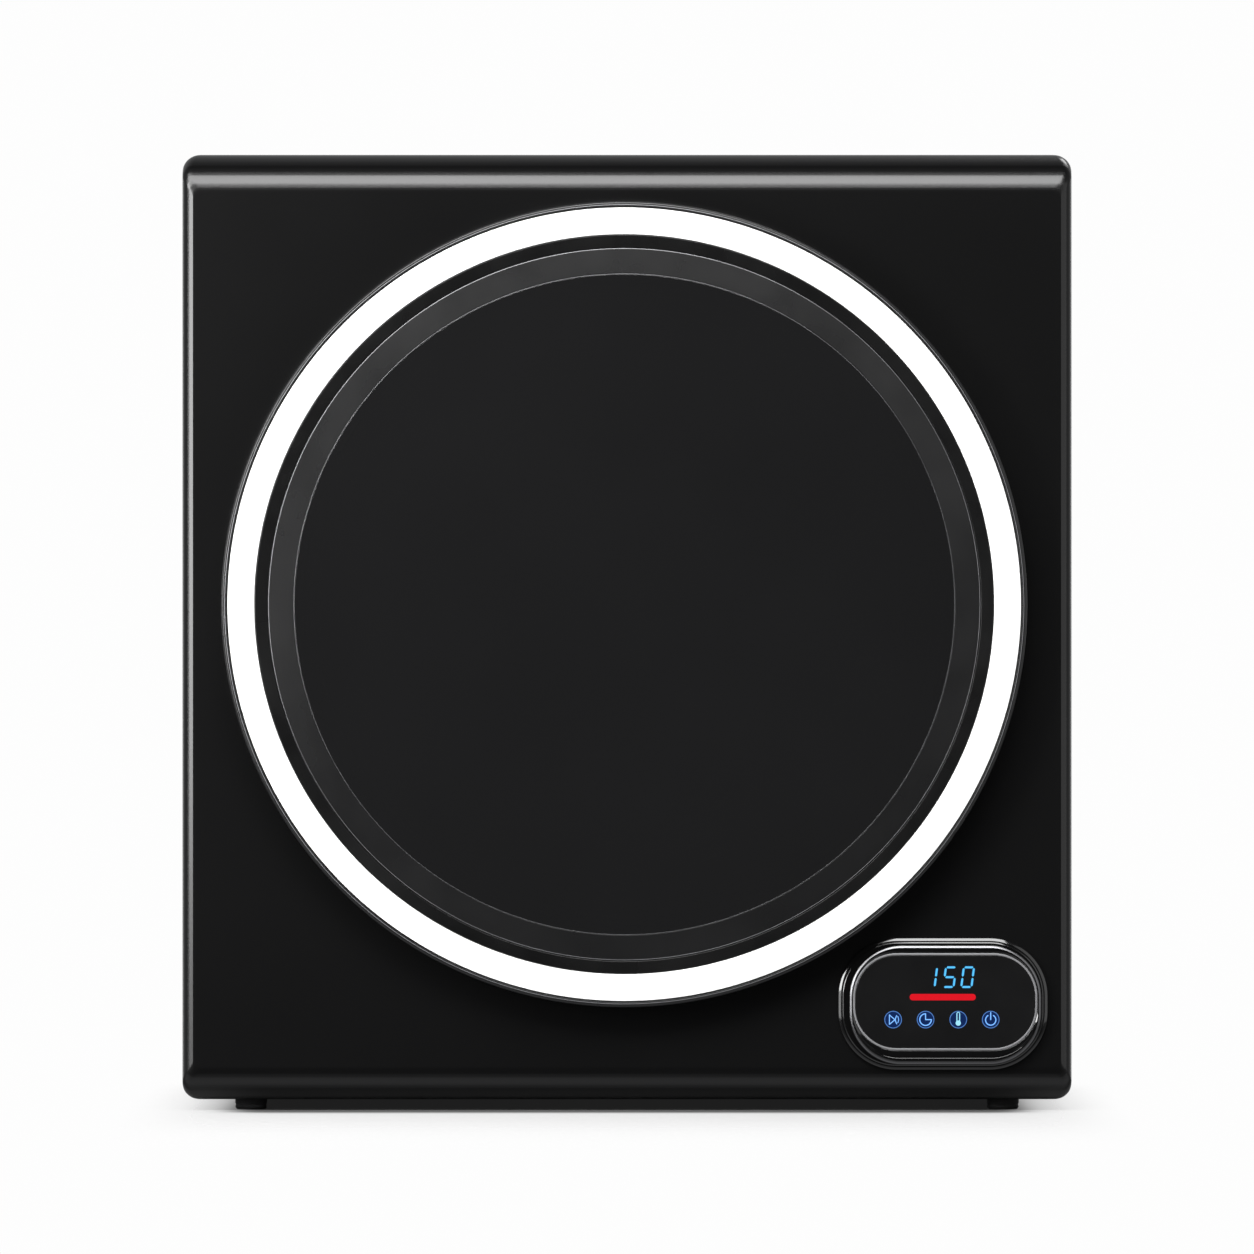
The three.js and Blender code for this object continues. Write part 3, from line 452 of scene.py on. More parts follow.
def math_node(nodes, links, operation, *values):
    node = nodes.new("ShaderNodeMath")
    node.operation = operation
    for socket, value in zip(node.inputs, values):
        if isinstance(value, (int, float)):
            socket.default_value = value
        else:
            links.new(value, socket)
    return node.outputs["Value"]


def ramped(nodes, links, value, start, end, low, high):
    node = nodes.new("ShaderNodeMapRange")
    node.interpolation_type = "SMOOTHERSTEP"
    for socket, number in zip(("From Min", "From Max", "To Min", "To Max"), (start, end, low, high)):
        node.inputs[socket].default_value = number
    links.new(value, node.inputs["Value"])
    return node.outputs["Result"]


def product(nodes, links, a, b):
    return math_node(nodes, links, "MULTIPLY", a, b)


def build_floor():
    """A floor with a painted contact shadow under the cabinet, which fades into the white background round it."""
    bm = bmesh.new()
    half = 1000
    bm.faces.new([bm.verts.new((a * half, b * half, 0)) for a, b in ((-1, -1), (1, -1), (1, 1), (-1, 1))])
    floor = mesh_piece("floor", bm, None, "white_trim")
    paint, nodes, links, bsdf = shader("floor_paint")
    bsdf.inputs["Roughness"].default_value = 0.9
    bsdf.inputs["Specular IOR Level"].default_value = 0.0

    def fade(value, start, end, low=1, high=0):
        return ramped(nodes, links, value, start, end, low, high)

    split = nodes.new("ShaderNodeSeparateXYZ")
    links.new(coordinates(nodes, links), split.inputs["Vector"])
    depth = split.outputs["Y"]
    across = math_node(nodes, links, "ABSOLUTE", split.outputs["X"])
    along = math_node(nodes, links, "ABSOLUTE", depth)
    # under masks the painted contact shadow: the floor's colour darkens beneath the cabinet, where shade falls.
    under = product(nodes, links, fade(across, 0.19, 0.25), fade(along, 0.185, 0.275))
    painted_contact_shadow = nodes.new("ShaderNodeValToRGB")
    painted_contact_shadow.color_ramp.elements[0].color = (0.25, 0.25, 0.25, 1)
    painted_contact_shadow.color_ramp.elements[1].color = (0.1, 0.1, 0.1, 1)
    links.new(under, painted_contact_shadow.inputs["Fac"])
    links.new(painted_contact_shadow.outputs["Color"], bsdf.inputs["Base Color"])

    ends = product(nodes, links, fade(depth, -0.95, -0.15, 0, 1), fade(depth, 0.2, 0.5))
    shown = product(nodes, links, fade(across, 0.2, 0.285), ends)
    mirrored = product(nodes, links, fade(across, 0.23, 0.26), fade(along, 0.18, 0.2))
    direct = nodes.new("ShaderNodeLightPath").outputs["Is Camera Ray"]
    extra = product(nodes, links, math_node(nodes, links, "SUBTRACT", shown, mirrored), direct)
    links.new(math_node(nodes, links, "ADD", mirrored, extra), bsdf.inputs["Alpha"])
    # A painted glow, seen only by camera rays, lightens the floor and its cast shadows. Under the cabinet it is
    # taken down as painted shade.
    bsdf.inputs["Emission Color"].default_value = (1, 1, 1, 1)
    links.new(product(nodes, links, fade(under, 0, 1, 0.47, 0.013), direct), bsdf.inputs["Emission Strength"])
    floor.data.materials[0] = paint


def room_brightness(nodes, links):
    """The room's brightness by direction: dim ahead of the cabinet, brighter aside, below and behind."""
    def fade(value, start, end, low, high):
        return ramped(nodes, links, value, start, end, low, high)

    split = nodes.new("ShaderNodeSeparateXYZ")
    links.new(nodes.new("ShaderNodeTexCoord").outputs["Generated"], split.inputs["Vector"])
    x, y, z = (split.outputs[axis] for axis in "XYZ")
    below = product(nodes, links, fade(z, -0.15, -0.5, 0, 0.5), fade(y, -0.5, 0.2, 1, 0.1))
    aside = product(nodes, links, x, x)
    sides = math_node(nodes, links, "MULTIPLY_ADD", aside, fade(z, -0.4, 0, 0.1, 0.4), below)
    behind = product(nodes, links, fade(y, -0.1, 0.5, 0, 0.34), fade(z, -0.4, 0, 0.3, 1))
    walls = math_node(nodes, links, "MULTIPLY_ADD", sides, fade(y, -0.94, -0.6, 0, 1), behind)
    return math_node(nodes, links, "ADD", walls, 0.03)


def build_room():
    """A plain white background to the camera, and a soft room to everything that the object mirrors."""
    world = bpy.data.worlds.new("studio")
    bpy.context.scene.world = world
    world.use_nodes = True
    nodes, links = world.node_tree.nodes, world.node_tree.links
    nodes.clear()
    seen = nodes.new("ShaderNodeBackground")
    seen.inputs["Color"].default_value = (0.985, 0.985, 0.985, 1)
    room = nodes.new("ShaderNodeBackground")
    room.inputs["Color"].default_value = (0.98, 0.985, 1.0, 1)
    links.new(room_brightness(nodes, links), room.inputs["Strength"])
    pick = nodes.new("ShaderNodeMixShader")
    links.new(nodes.new("ShaderNodeLightPath").outputs["Is Camera Ray"], pick.inputs["Fac"])
    links.new(room.outputs["Background"], pick.inputs[1])
    links.new(seen.outputs["Background"], pick.inputs[2])
    out = nodes.new("ShaderNodeOutputWorld")
    links.new(pick.outputs["Shader"], out.inputs["Surface"])


def build_stage():
    build_camera()
    build_room()
    for light in LIGHTS:
        area_light(*light)
    build_floor()
    bpy.context.scene.view_settings.view_transform = "Standard"


# ------------------------------------------------------------------ cabinet

PANEL_DEPTH = 25.0  # the front panel's turned-back edges
TOP_BEND, BOTTOM_BEND, SIDE_BEND = 21, 19, 6
FLAT_WIDTH, FLAT_TILT = 2.0, math.radians(16.5)  # the narrow flat between the panel's face and its side bend
FLAT_DEPTH = FLAT_WIDTH * math.tan(FLAT_TILT)
MOUTH = 164.5  # radius of the door opening
BODY_FRONT, BODY_REAR = FRONT + PANEL_DEPTH + 0.3, REAR - SHEET - 0.3  # ends of the body's sheets
FOLD, FOLD_BEND = 26, 10  # height and bend of the turned-over sides of the top and the base
OUTLET = (81, 150)  # x and z of the exhaust
CORD_EXIT = (195, 45)  # x and z of the cord's gland


def curved_in(radius, depth):
    return 0.0 if depth >= radius else radius - math.sqrt(max(0.0, radius ** 2 - (radius - depth) ** 2))


def side_bend(depth):
    """The front panel's side edge: a narrow tilted flat, then an arc that ends flush with the side."""
    if depth <= FLAT_DEPTH:
        return SIDE_BEND - depth / math.tan(FLAT_TILT)
    radius = (SIDE_BEND - FLAT_WIDTH) / (1 - math.sin(FLAT_TILT))
    rest = max(0.0, FLAT_DEPTH + radius * math.cos(FLAT_TILT) - depth)
    return radius - math.sqrt(radius ** 2 - rest ** 2)


def panel_outline(depth, offset=0.0):
    """The front panel's outline at a depth behind its face, or that of its inner skin, offset inwards."""
    top, bottom, side = (offset + curved_in(radius - offset, max(0.0, depth - offset))
                         for radius in (TOP_BEND, BOTTOM_BEND, SIDE_BEND))
    if not offset:
        side = side_bend(depth)
    corner = 4 + 6 * min(1.0, depth / TOP_BEND) - offset
    return rounded_rect(-HALF_WIDTH + side, HALF_WIDTH - side, BOTTOM + bottom, TOP - top, corner)


def build_front_panel():
    depths = {0.0, 0.05, FLAT_DEPTH}
    for radius in (SIDE_BEND, TOP_BEND):
        depths |= {round(radius * (1 - math.cos(math.pi / 2 * k / 14)), 4) for k in range(1, 15)}
    bm = bmesh.new()
    outer = [add_loop(bm, panel_outline(d), FRONT + d) for d in sorted(depths) + [PANEL_DEPTH]]
    inner = [add_loop(bm, panel_outline(d, SHEET), FRONT + d)
             for d in (PANEL_DEPTH, 22.0, 12.0, 6.0, 3.0, SHEET)]
    skin(bm, outer + inner)
    back = FRONT + PANEL_DEPTH
    lip = fillet([(MOUTH + 4, FRONT), (MOUTH, FRONT, 2.2), (MOUTH, back, 0.6), (MOUTH + 1.5, back, 0.6),
                  (MOUTH + 1.5, FRONT + SHEET)], closed=False, steps=6)
    rows = [add_loop(bm, circle(*AXIS, r, 192), y) for r, y in lip]
    skin(bm, rows)
    magnet = circle(AXIS[0] + 191, AXIS[1], 9.3, 40)
    pod_opening = rounded_rect(131.4, 216.6, 38.4, 79.6, 8.6)
    fronts = [add_loop(bm, line, FRONT) for line in (magnet, pod_opening)]
    backs = [add_loop(bm, line, FRONT + SHEET) for line in (magnet, pod_opening)]
    for loop, after in zip(fronts, backs):
        bridge(bm, loop, after)
    fill(bm, outer[0], rows[0], *fronts)
    fill(bm, inner[-1], rows[-1], *backs)
    mesh_piece("front_panel_shell", bm, "cabinet", "cabinet_paint", replaces=["front_panel"], crease=40)


def folded_outline(flat, up):
    """Cross-section of the top cover or base pan: a sheet with both sides turned over."""
    def side(inset):
        radius = FOLD_BEND - inset
        right = [(HALF_WIDTH - FOLD_BEND + radius * math.cos(a), flat + up * (FOLD_BEND - radius * math.sin(a)))
                 for a in (math.pi / 2 * k / 12 for k in range(13))]
        left = [(-x, z) for x, z in reversed(right)]
        end = flat + up * FOLD
        return [(HALF_WIDTH - inset, end)] + right + left + [(-HALF_WIDTH + inset, end)]
    return side(0) + list(reversed(side(SHEET)))


def build_folded(name, node, flat, up):
    bm = bmesh.new()
    outline = folded_outline(flat, up)
    add_loft(bm, [(outline, BODY_FRONT), (outline, BODY_REAR)])
    softened(mesh_piece(name, bm, "cabinet", "cabinet_paint", replaces=[node]))


def build_side(name, node, side):
    """A side panel with a shallow stamped field and turned-in front and rear edges."""
    low, high = BOTTOM + FOLD + 0.3, TOP - FOLD - 0.3
    bm = bmesh.new()

    def loop(depth, ends, edges=0.0, radius=0.8, steps=12):
        outline = rounded_rect(BODY_FRONT + ends, BODY_REAR - ends, low + edges, high - edges, radius, steps)
        return [bm.verts.new((side * (HALF_WIDTH - depth), y, z)) for y, z in outline]

    rim = [loop(depth, ends, steps=3) for depth, ends in ((0, 1.2), (0.4, 0.3), (1.4, 0.0), (2.6, 0.0))]
    skin(bm, rim)
    field = [loop(depth, 34 + inset, 30 + inset, 22 - inset)
             for inset, depth in ((0, 0), (0.8, 0.12), (2.4, 0.95), (3.4, 1.15))]
    skin(bm, field)
    fill(bm, rim[0], field[0])
    fill(bm, field[-1])
    fill(bm, rim[-1])
    for y in (BODY_FRONT + 0.2, BODY_REAR - 1.7):
        add_box(bm, *sorted((side * (HALF_WIDTH - 2.5), side * (HALF_WIDTH - 14))), y, y + 1.5, low, high)
    mesh_piece(name, bm, "cabinet", "cabinet_paint", replaces=[node], crease=24)


def louvre(bm, x0, x1, z0, z1, y, proud=3.0, steps=8):
    """A pressed hood over a slot: closed above, open below."""
    rows = []
    ends = ((0.0, 0.02), (0.02, 0.45), (0.05, 0.8), (0.09, 1.0))
    for spot, rise in (*ends, *((1 - spot, rise) for spot, rise in reversed(ends))):
        row = []
        for k in range(steps + 1):
            angle = math.pi / 2 * k / steps
            row.append(bm.verts.new((x0 + (x1 - x0) * spot, y + proud * rise * math.sin(angle),
                                     z1 + 2.5 - (z1 + 2.5 - z0) * (1 - math.cos(angle)))))
        rows.append(row)
    for row, after in zip(rows, rows[1:]):
        for k in range(steps):
            bm.faces.new([row[k], row[k + 1], after[k + 1], after[k]])


def pressed_bead(bm, x0, x1, z0, z1, width=7, proud=1.1):
    """A raised bead round a rectangle on the rear panel, or a solid one where its two sides meet."""
    half = ((0, 0.0), (1.2, 0.45), (2.4, 0.85))
    rows = []
    for inset, rise in (*half, (width / 2, 1.0), *((width - inset, rise) for inset, rise in reversed(half))):
        if min(x1 - x0, z1 - z0) <= 2 * inset:
            fill(bm, rows[-1])
            break
        radius = max(1.0, min(24, (z1 - z0) / 2) - inset)
        rows.append(add_loop(bm, rounded_rect(x0 + inset, x1 - inset, z0 + inset, z1 - inset, radius),
                             REAR + proud * rise))
    skin(bm, rows)


def build_rear():
    outline = rounded_rect(-HALF_WIDTH, HALF_WIDTH, BOTTOM, TOP, 10)
    slots = [rounded_rect(34, 146, 418 + 14 * i, 424 + 14 * i, 2.8, 4) for i in range(6)]
    bm = bmesh.new()
    plate(bm, outline, [circle(*OUTLET, 50.3, 96), circle(*CORD_EXIT, 8, 32), *slots], REAR - SHEET, REAR)
    softened(mesh_piece("rear_panel_sheet", bm, "cabinet", "rear_panel_steel", replaces=["rear_panel"]))
    bm = bmesh.new()
    for i in range(6):
        louvre(bm, 33, 147, 417.6 + 14 * i, 425 + 14 * i, REAR)
    hoods = mesh_piece("rear_louvres", bm, "cabinet", "rear_panel_steel")
    applied(hoods, "SOLIDIFY", thickness=0.7 * MM, offset=0)

    bm = bmesh.new()
    pressed_bead(bm, -205, -20, 92, 360)
    pressed_bead(bm, -205, 205, 388, 395)
    mesh_piece("rear_ribs", bm, "cabinet", "rear_panel_steel", crease=50)
    edge = [(x, z) for x in (-236, 236) for z in (60, 200, 340, 480)]
    edge += [(x, z) for x in (-150, 0, 150) for z in (16, 517)]
    spots = [(x, REAR, z) for x, z in edge]
    for angle in (0.8, 2.3, 3.9, 5.5):
        x, z = on_circle(*OUTLET, 55.5, angle)
        spots.append((x, REAR + 2.3, z))
    spots += [(-62, REAR, 279), (60, REAR, 279), (-168, REAR, 62)]
    screws("rear_screws", "cabinet", spots, (0, 1, 0))


def build_feet():
    profile = fillet([(0, 0), (2.6, 0), (2.6, 1.6, 0.3), (5.2, 1.6, 0.3), (5.2, 0, 0.3), (7.9, 0, 0.7),
                      (8.8, 1.4, 0.5), (8.4, 2.6, 0.4), (8.8, 3.6, 0.4), (8.8, 5.7, 0.4), (0, 5.7)],
                     closed=False, steps=3)
    for end, y in (("front", -150), ("rear", 150)):
        for side, x in (("left", -207.8), ("right", 207.8)):
            revolved(f"rubber_foot_{end}_{side}", profile, "cabinet", "rubber", (x, y), 64, False, "Z",
                     replaces=[f"foot_{end}_{side}"])


def build_exhaust():
    profile = fillet([(48.5, 156.5), (50, 156.5, 0.4), (50, 190.3), (60, 190.3, 0.4), (60, 192.3, 0.6),
                      (51.6, 192.3, 1.0), (50, 194, 0.6), (50, 198, 0.3), (49.6, 198.6, 0.2),
                      (49.6, 199.6, 0.2), (50, 200.2, 0.3), (50, 203, 0.3), (49.6, 203.6, 0.2),
                      (49.6, 204.6, 0.2), (50, 205.2, 0.3), (50, 209, 0.6), (49.4, 214, 0.5), (48.5, 214, 0.4)])
    revolved("exhaust_outlet", profile, "cabinet", "grey_plastic", OUTLET, replaces=["exhaust_collar"])
    gland = fillet([(4.5, 184), (7.6, 184), (7.6, 190.3), (11, 190.3, 0.5), (10.4, 191.6, 0.5),
                    (8.8, 193.3, 1.0), (5.2, 193.3, 0.5), (4.5, 192.6)])
    revolved("cord_bush", gland, "cabinet", "rubber", CORD_EXIT, 64, replaces=["cord_gland"])


# ------------------------------------------------------------------ door

HINGE_X = -215.0
BED = -210.8  # the plane that the door's rings and window sit on


def hinge_and_grip(bm):
    """The space behind the rim for the hinge on the left and the fingers on the right."""
    notch = rounded_rect(HINGE_X - 14, HINGE_X + 32, AXIS[1] - 36, AXIS[1] + 36, 1.5, 4)
    grip = rounded_rect(AXIS[0] + 204, AXIS[0] + 240, AXIS[1] - 40, AXIS[1] + 40, 6, 6)
    for outline in (notch, grip):
        add_loft(bm, [(outline, -207.5), (outline, FRONT)])


def door_ring(name, slot, inner, outer, look=None, replaces=()):
    """A flat ring on the bed. inner and outer are each a radius, the face's y there and its rounding."""
    profile = [(inner[0], BED), (outer[0], BED), outer, inner]
    revolved(name, fillet(profile), "door", slot, segments=256, look=look, replaces=replaces)


def build_door_front():
    profile = fillet([(177, -207.5), (177, -210.5), (218.7, -210.5), (218.7, -213.9, 0.25),
                      (221.5, -213.9, 2.5), (221.5, -208, 4), (219, -200, 8), (213, -193.5, 1),
                      (210.5, -193.5, 0.5), (216, -200, 6), (218.6, -207.5, 1)], steps=7)
    rim = revolved("door_rim", profile, "door", "gloss_black", look="rim_black", segments=256,
                   replaces=["door_frame"])
    cut(rim, hinge_and_grip)
    # A grey band on the rim's rounded outer edge: a painted highlight standing in for the gloss of the black rim
    # there.
    band = [(219 + radius * math.sin(angle), -211.4 - radius * math.cos(angle))
            for radius, angles in ((2.6, range(10, 66, 5)), (2.3, range(65, 9, -5)))
            for angle in map(math.radians, angles)]
    revolved("door_rim_painted_highlight", band, "door", "smoked_ring", look="painted_highlight_grey", segments=256)

    door_ring("door_white_ring", "white_trim", (203.3, -213.1, 0.45), (218.1, -213.1, 0.45),
              replaces=["door_trim_ring"])
    door_ring("door_black_ring", "satin_black", (196.2, -212.5, 0.3), (203.0, -212.7, 0.3), "ring_black",
              ["door_bezel_ring"])
    door_ring("window_bevel", "smoked_ring", (181.9, -213.1, 0.2), (195.2, -212.05, 0.1),
              replaces=["window_ring"])
    door_ring("window_outer_line", "smoked_ring", (195.3, -212.2, 0.1), (195.7, -212.0, 0.1), "edge_metal")
    door_ring("window_inner_line", "smoked_ring", (181.5, -213.35, 0.06), (181.7, -213.3, 0.06), "edge_metal")
    pane = fillet([(0, -213.4), (181.4, -213.4, 0.35), (181.4, BED, 0.3), (0, BED)], closed=False)
    revolved("window_pane", pane, "door", "tinted_glass", segments=256, closed=False,
             replaces=["door_window"])


def build_door_back():
    liner = fillet([(152, -195.5), (181, -195.5, 1), (181, -207.1), (183, -207.1), (183, -195.5, 1),
                    (210, -195.5), (210, -193.5, 0.8), (205, -193.5, 0.4), (203.5, -194.1, 0.4),
                    (186, -194.1, 0.4), (184.5, -193.5, 0.4), (153.5, -193.5, 0.8), (152, -194.2)])
    inner = revolved("door_inner_frame", liner, "door", "satin_black", segments=192, replaces=["door_liner"])
    cut(inner, hinge_and_grip)
    bowl = fillet([(0, -150), (118.5, -150, 3.5), (123.2, -154.5, 3.5), (148.6, -193.2, 2.5),
                   (151.5, -195.8, 0.6), (170, -195.8, 0.6), (170, -198.8, 0.6), (147, -198.8, 2),
                   (119.5, -156.4, 3.5), (116, -153, 3), (0, -153)], closed=False, steps=6)
    revolved("window_inner_bowl", bowl, "door", "clear_bowl", segments=192, closed=False,
             replaces=["window_bowl"], crease=50)
    seal = fillet([(167, -193.2, 0.4), (177, -193.2, 0.4), (177, -192.3, 0.3), (175.5, -190.8, 0.8),
                   (173.4, -191.3, 0.5), (171.6, -192, 0.4), (170.6, -190.6, 0.7), (168.8, -190.8, 0.6),
                   (167.2, -192, 0.4)])
    revolved("door_gasket", seal, "door", "rubber", segments=192, replaces=["door_seal"])
    spots = []
    for degrees in (22, 45, 68, 112, 135, 158, 202, 225, 248, 292, 315, 338):
        x, z = on_circle(*AXIS, 195, math.radians(degrees))
        spots.append((x, -194.0, z))
    screws("door_screws", "door", spots, (0, 1, 0), radius=2.8, height=0.7)
    leaf = [(x, -192.05, AXIS[1] + z) for x, z in ((-191.3, -25), (-191.3, 25), (-202.3, -11), (-202.3, 11))]
    screws("hinge_screws", "cabinet", leaf, (0, -1, 0), radius=3.2, height=1.3)


# ------------------------------------------------------------------ drum

def build_drum():
    shell = fillet([
        (174, -159), (175.2, -159, 0.5), (175.2, -150, 3), (210, -138, 6), (210, -70), (209.2, -68, 1.5),
        (209.2, -62, 1.5), (210, -60), (210, 20), (209.2, 22, 1.5), (209.2, 28, 1.5), (210, 30),
        (210, 96, 0.4), (208.8, 96, 0.4), (208.8, 30), (208, 28, 1.5), (208, 22, 1.5), (208.8, 20),
        (208.8, -60), (208, -62, 1.5), (208, -68, 1.5), (208.8, -70), (208.8, -137, 6), (174, -149, 3),
    ], steps=5)
    revolved("drum_cylinder", shell, "drum", "drum_steel", segments=192, replaces=["drum_shell"])

    holes = []
    for size, shift, rows in ((3.2, 0, ((134, 36), (154, 40))), (3.2, 0.5, ((144, 36), (164, 40))),
                              (3.6, 0, ((30, 12), (42, 16), (54, 20), (66, 24)))):
        for radius, count in rows:
            holes += [circle(*on_circle(*AXIS, radius, TURN * (i + shift) / count), size, 12)
                      for i in range(count)]
    bm = bmesh.new()
    plate(bm, circle(*AXIS, 207.6, 192), holes, 94, 95.5)
    mesh_piece("drum_back_plate", bm, "drum", "drum_steel", replaces=["drum_back"])
    for index in range(3):
        build_paddle(index)
    build_filter()


def turned_about_axis(share):
    """A turn about the drum's axis, by a share of a full turn."""
    pivot = Matrix.Translation((AXIS[0], 0, AXIS[1]))
    return pivot @ Matrix.Rotation(TURN * share, 4, "Y") @ pivot.inverted()


def build_paddle(index):
    """A paddle whose ends slope down to the drum wall."""
    wall = -205.4
    profile = fillet([(-23, wall), (23, wall, 1.0), (19, -199, 6), (8.5, -173, 5), (5, -168, 4), (-5, -168, 4),
                      (-8.5, -173, 5), (-19, -199, 6)], steps=4)
    sections = []
    for y, share in ((-120, 0.12), (-118.5, 0.3), (-113, 0.62), (-104, 0.86), (-92, 1.0), (52, 1.0),
                     (64, 0.86), (73, 0.62), (78.5, 0.3), (80, 0.12)):
        sections.append(([(AXIS[0] + a * (0.75 + 0.25 * share), AXIS[1] + wall + (b - wall) * share)
                          for a, b in profile], y))
    bm = bmesh.new()
    add_loft(bm, sections)
    bmesh.ops.transform(bm, matrix=turned_about_axis(index / 3), verts=bm.verts)
    mesh_piece(f"drum_paddle_{index + 1}", bm, "drum", "grey_plastic", replaces=[f"lifter_{index + 1}"],
               crease=50)


def build_filter():
    ring = fillet([(70, 93.6), (70, 84.8, 0.8), (71, 84, 0.8), (76.5, 84, 1.6), (78, 86, 1.2), (78, 93.6, 0.4)])
    bm = add_revolved(bmesh.new(), ring, segments=128)
    knob = fillet([(0, 74), (10, 74, 2), (12.5, 77, 1.5), (12.5, 82, 1), (15, 85, 1), (15, 92.6), (0, 92.6)],
                  closed=False)
    add_revolved(bm, knob, segments=64, closed=False)
    outline = fillet([(13, 92.6), (71, 92.6), (71, 84.6, 0.8), (13, 84.6, 0.8)], steps=3)
    for i in range(8):
        start = len(bm.verts)
        sides = [[bm.verts.new((AXIS[0] + r, y, AXIS[1] + half)) for r, y in outline] for half in (-1.6, 1.6)]
        bridge(bm, *sides)
        for side in sides:
            bm.faces.new(side)
        bm.verts.ensure_lookup_table()
        bmesh.ops.transform(bm, matrix=turned_about_axis(i / 8), verts=bm.verts[start:])
    mesh_piece("filter_frame", bm, "lint_filter", "grey_plastic", replaces=["lint_filter"], merge=False)
    bm = add_revolved(bmesh.new(), [(14, 92.2), (71, 92.2), (71, 92.8), (14, 92.8)], segments=96)
    mesh_piece("filter_screen", bm, "lint_filter", "grey_plastic", look="screen")


# ------------------------------------------------------------------ control pod

FLANGE = (174.0, 59.0, 115.3, 72.5, 32.0)  # x, z, width, height and corner radius
TUB = (174.0, 59.0, 84.0, 40.0, 8.0)
BEZEL = (175.2, 58.5, 105.7, 65.5, 28.5)
PANE = (175.1, 60.3, 101.3, 53.3, 24.0)
PANE_FACE = -197.6
DIGITS = ((167.15, "bc"), (177.6, "afgcd"), (187.45, "abcdef"))  # x of each digit, and its lit segments
DIGIT_Z = 73.8
RED_BAR = (155.55, 191.95, 61.05, 64.6)
KEYS = (146.45, 164.3, 182.3, 200.15)  # x of each key's mark
KEY_Z = 50.45


def grown(shape, grow):
    x, z, width, height, corner = shape
    across, up = width / 2 + grow, height / 2 + grow
    return rounded_rect(x - across, x + across, z - up, z + up, corner + grow, 20)


def stacked(bm, shape, steps):
    """A loop round the shape for each (grow, y) step."""
    return [add_loop(bm, grown(shape, grow), y) for grow, y in steps]


def between(outer, inner, share):
    """The outline a share of the way from an outer outline to an inner one."""
    return [(a + (c - a) * share, b + (d - b) * share) for (a, b), (c, d) in zip(outer, inner)]


def build_pod_base():
    bm = bmesh.new()
    flange = stacked(bm, FLANGE, [(0, -190.3), (0, -192.1), (-0.1, -192.45), (-0.3, -192.62), (-1.5, -193.05),
                                  (-1.75, -193.1), (-2.15, -193.1), (-2.2, -193.3), (-2.7, -193.62),
                                  (-3.1, -193.7)])
    inside = stacked(bm, TUB, [(-2, -193.7), (-2, -176)])
    outside = stacked(bm, TUB, [(0, -190.3), (0, -174)])
    for loops in (flange, inside, outside):
        skin(bm, loops)
    fill(bm, flange[-1], inside[0])
    fill(bm, inside[-1])
    fill(bm, outside[-1])
    fill(bm, flange[0], outside[0])
    mesh_piece("pod_base", bm, "cabinet", "gloss_black", replaces=["control_housing"], crease=30)


def pod_painted_highlight(name, look, shape, steps):
    """A thin light ring round the bezel or the pane: a painted highlight standing in for the gloss on its rounded
    edge.
    """
    bm = bmesh.new()
    ring = stacked(bm, shape, steps)
    skin(bm, ring + ring[:1])
    mesh_piece(name, bm, "cabinet", "gloss_black", look=look)


def build_pod():
    build_pod_base()
    bm = bmesh.new()
    ring = stacked(bm, BEZEL, [(0, -194.0), (0, -197.3), (-0.08, -197.6), (-0.3, -197.8), (-1.35, -198.2)])
    rim, bore = grown(BEZEL, -1.35), grown(PANE, 0.3)
    steps = [(0.08, -198.42), (0.12, -198.5), (0.3, -198.5), (0.34, -198.4), (0.36, -198.0), (0.46, -198.0),
             (0.48, -198.38), (0.52, -198.46), (0.94, -198.2), (0.99, -198.1), (1.0, -197.9), (1.0, -194.0)]
    ring += [add_loop(bm, between(rim, bore, share), y) for share, y in steps]
    skin(bm, ring + ring[:1])
    mesh_piece("pod_bezel", bm, "cabinet", "gloss_black", replaces=["control_bezel"], crease=30)
    # Painted highlights: light rings on the bezel's rounded edge and round the pane's edge.
    pod_painted_highlight("pod_bezel_painted_highlight", "painted_highlight_metallic", BEZEL, [(-0.35, -197.8), (-0.5, -197.95), (-1.15, -198.2),
                                                      (-1.35, -198.24), (-1.35, -198.0), (-0.35, -197.6)])
    pod_painted_highlight("pod_pane_painted_highlight", "painted_highlight_grey", PANE, [(0.1, -197.2), (0.1, -197.7), (-0.15, -197.86), (-0.7, -197.92),
                                                  (-1.0, -197.8), (-1.0, -197.2)])
    bm = bmesh.new()
    pane = stacked(bm, PANE, [(0, -194), (0, -197.2), (-0.1, -197.35), (-0.3, -197.42),
                              (-1.25, PANE_FACE + 0.05), (-1.35, PANE_FACE)])
    skin(bm, pane)
    fill(bm, pane[-1])
    fill(bm, pane[0])
    mesh_piece("pod_pane", bm, "cabinet", "control_glass", replaces=["control_window"], crease=6)
    build_legends()


def add_tile(bm, outline, y, thick=0.05):
    """A thin raised shape on the pane."""
    back = add_loop(bm, outline, y)
    face = add_loop(bm, outline, y - thick)
    bridge(bm, back, face)
    fill(bm, face)


def stroke(points, width, closed=False):
    """Outlines of the straight pieces and round joints of a drawn line."""
    tiles = []
    half = width / 2
    pairs = list(zip(points, points[1:])) + ([(points[-1], points[0])] if closed else [])
    for a, b in pairs:
        a, b = Vector(a), Vector(b)
        side = (b - a).normalized().orthogonal() * half
        tiles.append([tuple(a + side), tuple(a - side), tuple(b - side), tuple(b + side)])
    tiles += [circle(x, z, half, 10) for x, z in points]
    return tiles


def arc_points(x, z, radius, start, end, count):
    return [on_circle(x, z, radius, math.radians(start + (end - start) * i / count)) for i in range(count + 1)]


def bar(x0, z0, x1, z1, half):
    """One display segment: a bar with pointed ends."""
    a, b = Vector((x0, z0)), Vector((x1, z1))
    ahead = (b - a).normalized() * half
    side = ahead.orthogonal()
    return [tuple(a), tuple(a + ahead + side), tuple(b - ahead + side), tuple(b), tuple(b - ahead - side),
            tuple(a + ahead - side)]


